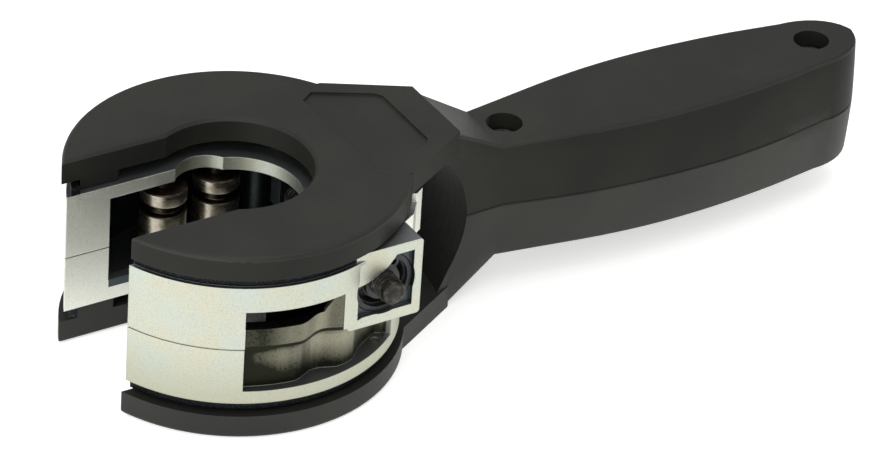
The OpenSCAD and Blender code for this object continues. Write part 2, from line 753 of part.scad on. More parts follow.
roller_xs = [-roller_mid_x - roller_gap / 2, roller_gap / 2 - roller_mid_x];
post_places = [for (a = post_angles) (wall_in_r - post_in) * [cos(a), sin(a)]];
tip_screw_y = slot_half + tip_screw_out;
tip_screw_x = sqrt(pow(drum_r - tip_screw_in, 2) - pow(tip_screw_y, 2));
screw_places = concat([[-tip_screw_x, tip_screw_y], [-tip_screw_x, -tip_screw_y]], post_places);

module at_dowels() {
    for (a = dowel_angles) rotate([0, 0, a]) translate([drum_r - wall_t / 2, 0, 0]) children();
}

module along_feed(y) {
    translate([feed_x, y, feed_z]) rotate([-90, 0, 0]) children();
}

// A rectangle with rounded corners
module rounded(x0, y0, x1, y1, r) {
    translate([x0 + r, y0]) square([x1 - x0 - 2 * r, y1 - y0]);
    translate([x0, y0 + r]) square([x1 - x0, y1 - y0 - 2 * r]);
    for (x = [x0 + r, x1 - r], y = [y0 + r, y1 - r]) translate([x, y]) circle(r);
}

module box_block(g) {
    w = box_side + g;
    translate([feed_x, wall_y + bearing_wall_t + g, 0]) rotate([90, 0, 0])
        linear_extrude(box_face_y + wall_y + bearing_wall_t + 2 * g)
            rounded(-w, -box_drop - g, w, box_top + g, box_round + g);
}

// The web beside the box, from the plan point first on
module web(first, z0, z1) {
    last = len(web_angles) - 1;
    plan = [for (k = [first:last]) web_radii[k] * [cos(web_angles[k]), sin(web_angles[k])]];
    back = [for (a = [web_angles[last], web_angles[first]]) clear_r * [cos(a), sin(a)]];
    translate([0, 0, z0]) linear_extrude(z1 - z0) polygon(concat(plan, back));
}

module knob_box() {
    difference() {
        box_block(0);
        translate([0, 0, flange_z]) cylinder(r = clear_r, h = rim_rise + cut_over);
    }
}

module knob_brow() {
    along_feed(-box_face_y) rotate([0, 0, -brow_angle])
        translate([feed_r + brow_gap + brow_r, 0, 0]) cylinder(r = brow_r, h = brow_t);
}

module knob_room() {
    difference() {
        union() {
            along_feed(-box_face_y - cut_over)
                cylinder(r = pocket_r, h = wall_y + box_face_y + cut_over);
            translate([feed_x - box_open_w / 2, -box_face_y - cut_over, feed_z - box_open_h / 2])
                cube([box_open_w, knob_recess + cut_over, box_open_h]);
        }
        knob_brow();
    }
}

module head_half_upper() {
    color("#d9dcd4") difference() {
        union() {
            difference() {
                drum(-parting_drop);
                trough();
                difference() {
                    window_room([window_end_x, 0], [window_end_x, -2 * drum_r], band_top, window_top);
                    window_slope();
                }
            }
            band(wave_x - wave_w / 2, wave_x + wave_w / 2, 0, band_t, -parting_drop, band_top);
            knob_box();
            web(0, web_low, flange_z);
            web(2, flange_z, web_top);
            translate([feed_x - block_side, block_y, feed_z - feed_r - turned_bevel])
                cube([2 * block_side, block_len, floor_z - feed_z + feed_r + turned_bevel]);
            for (p = post_places)
                translate([p[0], p[1], -parting_drop]) cylinder(r = post_r, h = floor_z + parting_drop);
        }
        knob_room();
        along_feed(-box_face_y)
            cylinder(r = feed_r + turn_gap, h = box_face_y + wall_y + bearing_wall_t + cut_over);
        along_feed(wall_y + bearing_wall_t)
            cylinder(r = nut_r + slide_gap, h = block_y - wall_y - bearing_wall_t);
        along_feed(block_y - cut_over) cylinder(r = journal_d / 2 + turn_gap, h = block_len + 2 * cut_over);
        for (x = roller_xs)
            translate([x, roller_y, 0]) cylinder(r = roller_pin_d / 2 + press_gap, h = floor_z + pin_seat);
        for (p = screw_places)
            translate([p[0], p[1], -parting_drop - cut_over])
                cylinder(r = head_screw_d / 2 + press_gap, h = cut_over + head_screw_reach + seat_gap);
        at_dowels() translate([0, 0, -parting_drop - dowel_half])
            cylinder(r = dowel_d / 2 + press_gap, h = 2 * dowel_half);
    }
}

// The groove along the joint, round the drum and along the slot
module parting_cut() {
    z0 = -parting_drop - parting_groove;
    translate([0, 0, z0]) difference() {
        cylinder(r = drum_r + cut_over, h = parting_groove + cut_over);
        translate([0, 0, -cut_over])
            cylinder(r = drum_r - parting_groove, h = parting_groove + 3 * cut_over);
    }
    translate([-drum_r - cut_over, -slot_half - parting_groove, z0])
        cube([drum_r + cut_over - throat_r, 2 * (slot_half + parting_groove), parting_groove + cut_over]);
}

module head_half_lower() {
    color("#d9dcd4") difference() {
        union() {
            difference() {
                mirror([0, 0, 1]) drum(parting_drop);
                window_room([0, 0], 2 * drum_r * [cos(window_end_angle), -sin(window_end_angle)],
                    -floor_z, -parting_drop + cut_over);
            }
            band(drum_r * cos(window_tip_angle) - wall_t / 2, drum_r * cos(window_end_angle) + wall_t / 2,
                recess_in, recess_t, -floor_z, -parting_drop, 1);
            translate([-jaw_block_x, slot_half, -floor_z])
                cube([jaw_block_x + roller_xs[0] - roller_r - lip_gap, lip_t, lip_h]);
            for (p = post_places)
                translate([p[0], p[1], -floor_z]) cylinder(r = post_r, h = floor_z - parting_drop);
        }
        box_block(slide_gap);
        parting_cut();
        rotate([0, 0, -floor_hole_angle]) translate([floor_hole_r, 0, -floor_z - floor_hole_deep])
            cylinder(d = floor_hole_d, h = floor_hole_deep + cut_over);
        for (x = roller_xs)
            translate([x, roller_y, -floor_z - pin_seat])
                cylinder(r = roller_pin_d / 2 + press_gap, h = pin_seat + cut_over);
        for (p = screw_places) translate([p[0], p[1], -flange_z - cut_over]) {
            cylinder(r = head_screw_d / 2 + slide_gap, h = flange_z + 2 * cut_over);
            cylinder(r = head_screw_head_d / 2 + slide_gap, h = cut_over + head_screw_head_h);
        }
        at_dowels() translate([0, 0, -parting_drop - dowel_half])
            cylinder(r = dowel_d / 2 + press_gap, h = 2 * dowel_half);
    }
}

module head_screws() {
    socket_h = head_screw_head_h * socket_share_deep;
    color("silver") for (p = screw_places) translate([p[0], p[1], -flange_z]) difference() {
        union() {
            cylinder(d = head_screw_head_d, h = head_screw_head_h);
            cylinder(d = head_screw_d, h = flange_z + head_screw_reach - parting_drop);
        }
        translate([0, 0, -cut_over])
            cylinder(d = head_screw_d * socket_share_d, h = cut_over + socket_h, $fn = 6);
    }
}

module head_dowels() {
    color("silver") at_dowels() translate([0, 0, -parting_drop - dowel_half + press_gap])
        cylinder(d = dowel_d, h = 2 * (dowel_half - press_gap));
}

module roller(x) {
    b = turned_bevel;
    r = roller_r;
    g = roller_r - groove_deep;
    z0 = -carriage_z;
    z2 = roller_top - roller_band;
    z1 = z2 - groove_w;
    bore = roller_pin_d / 2 + turn_gap;
    color("#8f8c84") translate([x, roller_y, 0]) rotate_extrude()
        polygon([[bore, z0], [r - b, z0], [r, z0 + b], [r, z1], [g, z1], [g, z2], [r, z2],
            [r, roller_top - b], [r - b, roller_top], [bore, roller_top]]);
}

module roller_outer() { roller(roller_xs[0]); }
module roller_inner() { roller(roller_xs[1]); }

module roller_pin(x) {
    end_z = floor_z + pin_seat - pin_end_gap;
    collar_z = roller_top + slide_gap;
    color("silver") translate([x, roller_y, 0]) union() {
        translate([0, 0, -end_z]) cylinder(d = roller_pin_d, h = 2 * end_z);
        translate([0, 0, collar_z])
            cylinder(r = roller_pin_d / 2 + pin_collar_t, h = floor_z - press_gap - collar_z);
    }
}

module roller_pin_outer() { roller_pin(roller_xs[0]); }
module roller_pin_inner() { roller_pin(roller_xs[1]); }

module wheel_carriage() {
    web_x = wheel_x + wheel_room_r + fork_back_t / 2;
    room_t = wheel_hub_t + 2 * slide_gap;
    color("#3b3b3d") difference() {
        union() {
            translate([wheel_x - fork_half, fork_back_y, -carriage_z])
                cube([2 * fork_half, fork_front_y - fork_back_y, 2 * carriage_z]);
            translate([wheel_x, nut_y, -carriage_z]) cube([web_x - wheel_x, nut_len, 2 * carriage_z]);
            translate([wheel_x + fork_half, nut_y, feed_z - nut_r])
                cube([feed_x - wheel_x - fork_half, nut_len, 2 * nut_r]);
            along_feed(nut_y) cylinder(r = nut_r, h = nut_len);
        }
        translate([wheel_x, -wheel_y, wheel_z - room_t / 2]) {
            cylinder(r = wheel_room_r, h = room_t);
            translate([-wheel_room_r, 0, 0]) cube([2 * fork_half, wheel_r + cut_over, room_t]);
        }
        translate([wheel_x, -wheel_y, wheel_z - wheel_hub_t / 2 - wheel_pin_seat])
            cylinder(r = wheel_pin_d / 2 + press_gap, h = carriage_z + cut_over + wheel_pin_seat);
        along_feed(nut_y - cut_over) cylinder(r = feed_r + turn_gap, h = nut_len + 2 * cut_over);
    }
}

module cutter_wheel() {
    h = wheel_hub_t / 2;
    b = wheel_blade_t / 2;
    bore = wheel_pin_d / 2 + turn_gap;
    color("slategray") translate([wheel_x, -wheel_y, wheel_z]) rotate_extrude()
        polygon([[bore, -h], [wheel_hub_r, -h], [wheel_hub_r, -b], [wheel_r - wheel_edge, -b], [wheel_r, 0],
            [wheel_r - wheel_edge, b], [wheel_hub_r, b], [wheel_hub_r, h], [bore, h]]);
}

module wheel_pin() {
    z0 = wheel_z - wheel_hub_t / 2 - wheel_pin_seat + press_gap;
    color("silver") translate([wheel_x, -wheel_y, z0]) cylinder(d = wheel_pin_d, h = carriage_z - z0);
}

module feed_screw() {
    b = turned_bevel;
    g = feed_r - ring_groove;
    j = journal_d / 2;
    ring0 = ring_y - screw_tip_y;
    ring1 = ring0 + ring_t;
    step = block_y - seat_gap - screw_tip_y;
    end = screw_end_y - screw_tip_y;
    color("#262626") difference() {
        along_feed(screw_tip_y) rotate_extrude()
            polygon([[0, 0], [feed_r - b, 0], [feed_r, b], [feed_r, ring0], [g, ring0], [g, ring1],
                [feed_r, ring1], [feed_r, step], [j, step], [j, end], [0, end]]);
        knob_pin_hole();
    }
}

module knob_pin_hole() {
    translate([feed_x, knob_y + knob_len / 2, feed_z - knob_hub_r])
        cylinder(r = knob_pin_d / 2 + press_gap, h = knob_hub_r + knob_r + cut_over);
}

module knob_pin() {
    color("silver") translate([feed_x, knob_y + knob_len / 2, feed_z - knob_hub_r + press_gap])
        cylinder(d = knob_pin_d, h = 2 * (knob_hub_r - press_gap));
}

// The knob's face is seen from -Y, so its angles run from +X towards +Z
module feed_knob() {
    dish_r = knob_r - knob_rim_t;
    web_r = (knob_hub_r + dish_r) / 2;
    color("#1f1f20") difference() {
        along_feed(knob_y) difference() {
            cylinder(r = knob_r, h = knob_len);
            translate([0, 0, -cut_over]) difference() {
                cylinder(r = dish_r, h = cut_over + knob_dish);
                cylinder(r = knob_hub_r, h = cut_over + knob_dish);
                rotate([0, 0, -knob_hole_angle]) translate([web_r, 0, 0])
                    cylinder(d = knob_hole_d + knob_slot_w, h = cut_over + knob_dish);
            }
            for (a = knob_slots) rotate([0, 0, -a[0] - a[1]])
                rotate_extrude(angle = a[1]) translate([web_r - knob_slot_w / 2, -cut_over])
                    square([knob_slot_w, knob_len + 2 * cut_over]);
            rotate([0, 0, -knob_hole_angle]) translate([web_r, 0, -cut_over])
                cylinder(d = knob_hole_d, h = knob_len + 2 * cut_over);
            translate([0, 0, -cut_over]) cylinder(r = feed_r + press_gap, h = knob_len + 2 * cut_over);
        }
        knob_pin_hole();
    }
}

module thrust_washer() {
    color("silver") along_feed(washer_y) difference() {
        cylinder(r = nut_r, h = washer_t);
        translate([0, 0, -cut_over]) cylinder(r = feed_r + press_gap, h = washer_t + 2 * cut_over);
    }
}

module retaining_ring() {
    color("gray") along_feed(ring_y) translate([0, 0, press_gap]) difference() {
        cylinder(r = feed_r + ring_over, h = ring_t - 2 * press_gap);
        translate([0, 0, -cut_over])
            cylinder(r = feed_r - ring_groove + press_gap, h = ring_t + 2 * cut_over);
        translate([-ring_mouth / 2, 0, -cut_over])
            cube([ring_mouth, feed_r + ring_over + cut_over, ring_t + 2 * cut_over]);
    }
}

handle_shell_upper();
handle_shell_lower();
handle_screw_front();
handle_screw_rear();
ratchet_pawl_left();
ratchet_pawl_right();
pawl_spring_left();
pawl_spring_right();
head_half_upper();
head_half_lower();
head_screws();
roller_outer();
roller_inner();
roller_pin_outer();
roller_pin_inner();
wheel_carriage();
cutter_wheel();
wheel_pin();
feed_screw();
feed_knob();
knob_pin();
thrust_washer();
retaining_ring();
head_dowels();
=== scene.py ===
"""Ratcheting pipe cutter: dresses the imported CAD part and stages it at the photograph's angle."""

import json
import logging
import math
from dataclasses import dataclass, field
from enum import Enum, IntEnum
from functools import cached_property

import bmesh
import bpy
from mathutils import Matrix, Vector


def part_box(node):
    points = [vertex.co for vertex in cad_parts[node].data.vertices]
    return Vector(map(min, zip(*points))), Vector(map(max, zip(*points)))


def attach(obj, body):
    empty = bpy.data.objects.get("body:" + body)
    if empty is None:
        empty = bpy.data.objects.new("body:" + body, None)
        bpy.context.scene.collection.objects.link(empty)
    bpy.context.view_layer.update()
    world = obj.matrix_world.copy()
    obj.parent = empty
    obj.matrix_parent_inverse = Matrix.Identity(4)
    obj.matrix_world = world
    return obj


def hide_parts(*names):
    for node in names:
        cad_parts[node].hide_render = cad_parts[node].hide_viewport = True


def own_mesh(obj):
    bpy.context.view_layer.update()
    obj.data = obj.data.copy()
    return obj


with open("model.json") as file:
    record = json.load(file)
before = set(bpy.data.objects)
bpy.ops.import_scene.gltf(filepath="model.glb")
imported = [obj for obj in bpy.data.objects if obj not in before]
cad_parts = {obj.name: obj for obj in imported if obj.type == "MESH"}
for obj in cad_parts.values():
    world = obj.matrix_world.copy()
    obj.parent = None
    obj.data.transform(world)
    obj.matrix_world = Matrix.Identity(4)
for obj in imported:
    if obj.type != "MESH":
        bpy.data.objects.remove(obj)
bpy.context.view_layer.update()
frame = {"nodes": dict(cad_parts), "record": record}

LOG = logging.getLogger("pipe_cutter")
MM = 0.001
WELD = 1e-4
ROUND_STEPS = 96
CLOUD_SPAN = (0.3, 0.7)  # nearly all of a cloud's values lie in it

Socket = bpy.types.NodeSocket
Range = tuple[float, float]


# Patterns, on object coordinates in millimetres


class Slot(Enum):
    """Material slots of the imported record."""

    NYLON = "moulded_nylon"
    KNOB = "knob_nylon"
    ZINC = "plated_zinc"
    ROLLER = "roller_steel"
    TOOL_STEEL = "hard_steel"
    OXIDE = "black_oxide"
    SCREW = "bright_screw"


class Coord(Enum):
    """Measures of the shaded place."""

    X = "X"
    Y = "Y"
    Z = "Z"
    AWAY = "distance from the middle plane"
    RADIUS = "distance from the head's axis"
    UP = "height of the direction that the face looks in, up to 1"


class Join(Enum):
    """Ways of joining masks: every one has to hold, one is enough, they build up, or each takes its share."""

    ALL = "MINIMUM"
    ANY = "MAXIMUM"
    SUM = "ADD"
    PRODUCT = "MULTIPLY"


@dataclass(frozen=True)
class Cloud:
    """A soft random field from 0 to 1: the size of its patches, its finer octaves, and the factors on x, y and z
    that stretch it, where it has them."""

    size: float
    detail: float
    factors: tuple[float, float, float] | None = None


@dataclass(frozen=True)
class Zone:
    """A part of the object, by the lowest and highest value of each measure. None sets no limit."""

    x: Range | None = None
    y: Range | None = None
    z: Range | None = None
    away: Range | None = None
    radius: Range | None = None

    def limits(self) -> list[tuple[Coord, Range]]:
        """Lists the limits that are set.

        Returns:
            Measure, and its lowest and highest value, of each.
        """
        rows = [
            (Coord.X, self.x),
            (Coord.Y, self.y),
            (Coord.Z, self.z),
            (Coord.AWAY, self.away),
            (Coord.RADIUS, self.radius),
        ]
        return [(coord, limit) for coord, limit in rows if limit is not None]


def linear(hex_colour: str) -> tuple[float, float, float, float]:
    """Turns an sRGB hex colour into linear RGBA.

    Args:
        hex_colour: Colour such as "#8090a0".

    Returns:
        Linear red, green, blue and an alpha of one.
    """
    parts = [int(hex_colour[i : i + 2], 16) / 255 for i in (1, 3, 5)]
    r, g, b = (c / 12.92 if c <= 0.04045 else ((c + 0.055) / 1.055) ** 2.4 for c in parts)
    return r, g, b, 1.0


class Graph:
    """The node tree of a material or of the world, with the patterns that the finishes are made of."""

    def __init__(self, tree: bpy.types.NodeTree) -> None:
        """Takes a tree and empties it.

        Args:
            tree: Node tree of a material or of the world.
        """
        tree.nodes.clear()
        self.tree = tree
        self.known: dict[Coord | Cloud, Socket] = {}

    def add(
        self, kind: str, settings: dict[str, object] | None = None, **inputs: object
    ) -> bpy.types.bpy_prop_collection:
        """Adds a node, sets its properties, and sets or links its inputs.

        Args:
            kind: Blender's type name of the node.
            settings: Properties of the node itself.
            inputs: Value or output socket for each input; "Base_Color" means the socket "Base Color", and "in_0"
                socket 0.

        Returns:
            The node's output sockets.
        """
        made = self.tree.nodes.new(kind)
        for name, value in (settings or {}).items():
            setattr(made, name, value)
        for name, value in inputs.items():
            socket = made.inputs[int(name[3:]) if name.startswith("in_") else name.replace("_", " ")]
            if isinstance(value, bpy.types.NodeSocket):
                self.tree.links.new(value, socket)
            else:
                socket.default_value = value
        return made.outputs

    @cached_property
    def point(self) -> Socket:
        """The shaded point."""
        coords = self.add("ShaderNodeTexCoord")["Object"]
        return self.add("ShaderNodeVectorMath", {"operation": "SCALE"}, in_0=coords, Scale=1 / MM)[0]

    def field(self, of: Coord | Cloud) -> Socket:
        """Gives the socket of a measure or a cloud, and adds its nodes at the first call.

        Args:
            of: The measure or cloud.

        Returns:
            Its value socket.
        """
        if of in self.known:
            return self.known[of]
        if isinstance(of, Cloud):
            point = self.point
            if of.factors is not None:
                point = self.add("ShaderNodeVectorMath", {"operation": "MULTIPLY"}, in_0=point, in_1=of.factors)[0]
            made = self.add("ShaderNodeTexNoise", Vector=point, Scale=1 / of.size, Detail=of.detail)[0]
        elif of is Coord.AWAY:
            made = self.add("ShaderNodeMath", {"operation": "ABSOLUTE"}, in_0=self.field(Coord.Z))[0]
        elif of is Coord.RADIUS:
            flat = self.add("ShaderNodeVectorMath", {"operation": "MULTIPLY"}, in_0=self.point, in_1=(1.0, 1.0, 0.0))
            made = self.add("ShaderNodeVectorMath", {"operation": "LENGTH"}, in_0=flat[0])[1]
        elif of is Coord.UP:
            way = self.add("ShaderNodeNewGeometry")["True Normal"]
            made = self.add("ShaderNodeSeparateXYZ", Vector=way)["Z"]
        else:
            made = self.add("ShaderNodeSeparateXYZ", Vector=self.point)[of.value]
        self.known[of] = made
        return made

    def share(self, of: Coord | Cloud, source: Range, target: Range = (0.0, 1.0)) -> Socket:
        """Turns a range of a measure or cloud into a share, clamped at both ends.

        Args:
            of: The measure or cloud.
            source: Its values where the share begins and ends.
            target: The share at these two values.

        Returns:
            The share's socket.
        """
        return self.add(
            "ShaderNodeMapRange",
            Value=self.field(of),
            From_Min=source[0],
            From_Max=source[1],
            To_Min=target[0],
            To_Max=target[1],
        )[0]

    def mask(self, zone: Zone) -> Socket:
        """Adds a mask that is 1 in a zone and 0 elsewhere.

        Args:
            zone: The zone.

        Returns:
            The mask's socket.
        """
        compare = {"operation": "COMPARE"}
        masks = [
            self.add("ShaderNodeMath", compare, in_0=self.field(of), in_1=(low + high) / 2, in_2=(high - low) / 2)[0]
            for of, (low, high) in zone.limits()
        ]
        return self.join(Join.ALL, *masks)

    def join(self, way: Join, *masks: Socket | float) -> Socket:
        """Joins masks.

        Args:
            way: How they are joined.
            masks: The masks: sockets, or numbers after the first.

        Returns:
            The joined mask's socket.
        """
        result = masks[0]
        for mask in masks[1:]:
            result = self.add("ShaderNodeMath", {"operation": way.value}, in_0=result, in_1=mask)[0]
        return result

    def paint(self, base: str | Socket, *coats: tuple[Socket, str | Socket]) -> Socket:
        """Lays coats over a colour.

        Args:
            base: Colour below them, as hex or socket.
            coats: Share from 0 to 1 and colour of each coat, the lowest first.

        Returns:
            The colour's socket.
        """
        for share, coat in coats:
            low, high = (linear(c) if isinstance(c, str) else c for c in (base, coat))
            base = self.add("ShaderNodeMix", {"data_type": "RGBA"}, in_0=share, in_6=low, in_7=high)[2]
        return base

    def relief(self, of: Cloud, depth: float, strength: float, edge: float) -> Socket:
        """Adds a fine surface relief over softly broken edges.

        Args:
            of: Cloud that gives the height.
            depth: Depth of the relief, in millimetres.
            strength: How much of it shows.
            edge: Radius at which the piece's edges are broken, in millimetres.

        Returns:
            The normal's socket.
        """
        edges = self.add("ShaderNodeBevel", {"samples": 4}, Radius=edge * MM)[0]
        height = self.field(of)
        return self.add("ShaderNodeBump", Strength=strength, Distance=depth * MM, Height=height, Normal=edges)[0]

    def worn_and_highlit_edges(self, width: float, alike: Range = (0.98, 0.85)) -> Socket:
        """Adds a mask of the edges, which are painted paler: partly as wear from handling, partly as a painted
        highlight.

        Args:
            width: Width of the paler line, in millimetres.
            alike: How alike the face's direction and the rounded edge's are where the line begins, and where it is
                full.

        Returns:
            The mask's socket.
        """
        rounded = self.add("ShaderNodeBevel", {"samples": 6}, Radius=width * MM)[0]
        flat = self.add("ShaderNodeNewGeometry")["Normal"]
        dot = self.add("ShaderNodeVectorMath", {"operation": "DOT_PRODUCT"}, in_0=rounded, in_1=flat)[1]
        return self.add("ShaderNodeMapRange", Value=dot, From_Min=alike[0], From_Max=alike[1])[0]


# Materials


class Finish:
    """A finish whose material is made once and shared by every piece that has it."""

    title: str = "finish"

    def surface(self, graph: Graph) -> dict[str, object]:
        """Adds the finish's patterns.

        Args:
            graph: Node tree of the material.

        Returns:
            Values and sockets for the surface shader.
        """
        raise NotImplementedError

    def material(self) -> bpy.types.Material:
        """Gives the finish's material, and makes it at the first call.

        Returns:
            The material.
        """
        known = bpy.data.materials.get(self.title)
        if known is not None:
            return known
        made = bpy.data.materials.new(self.title)
        made.use_nodes = True
        graph = Graph(made.node_tree)
        shader = graph.add("ShaderNodeBsdfPrincipled", **self.surface(graph))
        graph.add("ShaderNodeOutputMaterial", Surface=shader[0])
        return made

    def dress(self, piece: bpy.types.Object) -> None:
        """Puts the finish on every face of a piece."""
        piece.data.materials.clear()
        piece.data.materials.append(self.material())


@dataclass(frozen=True)
class MouldedNylon(Finish):
    """Glass-filled nylon, injection moulded in a spark-eroded mould: matte, near black, slightly olive, with a
    fine even grain and faint clouds where the melt flowed. The fibres break up its skin, so it reflects less
    than a smooth nylon. Its edges are painted a little paler, partly as wear from handling and partly as a
    painted highlight, but not along the seam, which lies in the middle plane. The grain, some 0.1 mm in the
    real mould, is drawn at 0.4 mm, because it wouldn't show any finer."""

    title: str = "moulded_glass_filled_nylon"
    dark: str = "#1c1d19"
    light: str = "#24251e"
    # Paler edge colour: partly wear, partly a painted highlight of the rounded edges.
    highlight_and_wear: str = "#383933"
    sheen: float = 0.34
    ior: float = 1.53
    roughness: Range = (0.48, 0.58)
    grain: Cloud = Cloud(0.4, 2.0)
    flow: Cloud = Cloud(22.0, 3.0)
    light_flow: Range = (0.4, 0.65)
    pale_edge_flow: Range = (0.3, 0.6)
    pale_edge_share: Range = (0.4, 1.0)
    pale_edge_width: float = 0.35
    off_seam: Range = (1.2, 1.7)
    off_seam_share: Range = (0.0, 0.8)

    def surface(self, graph: Graph) -> dict[str, object]:
        """See Finish.surface."""
        # The edges are painted paler, partly as wear and partly as a painted highlight.
        worn = graph.join(
            Join.PRODUCT,
            graph.worn_and_highlit_edges(self.pale_edge_width),
            graph.share(Coord.AWAY, self.off_seam, self.off_seam_share),
            graph.share(self.flow, self.pale_edge_flow, self.pale_edge_share),
        )
        skin = graph.share(self.flow, self.light_flow)
        return {
            "Base_Color": graph.paint(self.dark, (skin, self.light), (worn, self.highlight_and_wear)),
            "Roughness": graph.share(self.grain, CLOUD_SPAN, self.roughness),
            "IOR": self.ior,
            "Specular_IOR_Level": self.sheen,
            "Normal": graph.relief(self.grain, depth=0.03, strength=0.22, edge=0.2),
        }


@dataclass(frozen=True)
class KnobAcetal(Finish):
    """Acetal, moulded in a smoother mould than the handle: black, with a soft sheen on its edges. Its grain is
    drawn at 0.4 mm, because it wouldn't show any finer."""

    title: str = "moulded_black_acetal"
    dark: str = "#1d1e1f"
    light: str = "#2d2e2f"
    roughness: float = 0.4
    ior: float = 1.48
    grain: Cloud = Cloud(0.4, 2.0)
    flow: Cloud = Cloud(2.5, 4.0)
    light_flow: Range = (0.4, 0.7)

    def surface(self, graph: Graph) -> dict[str, object]:
        """See Finish.surface."""
        return {
            "Base_Color": graph.paint(self.dark, (graph.share(self.flow, self.light_flow), self.light)),
            "Roughness": self.roughness,
            "IOR": self.ior,
            "Normal": graph.relief(self.grain, depth=0.02, strength=0.2, edge=0.2),
        }


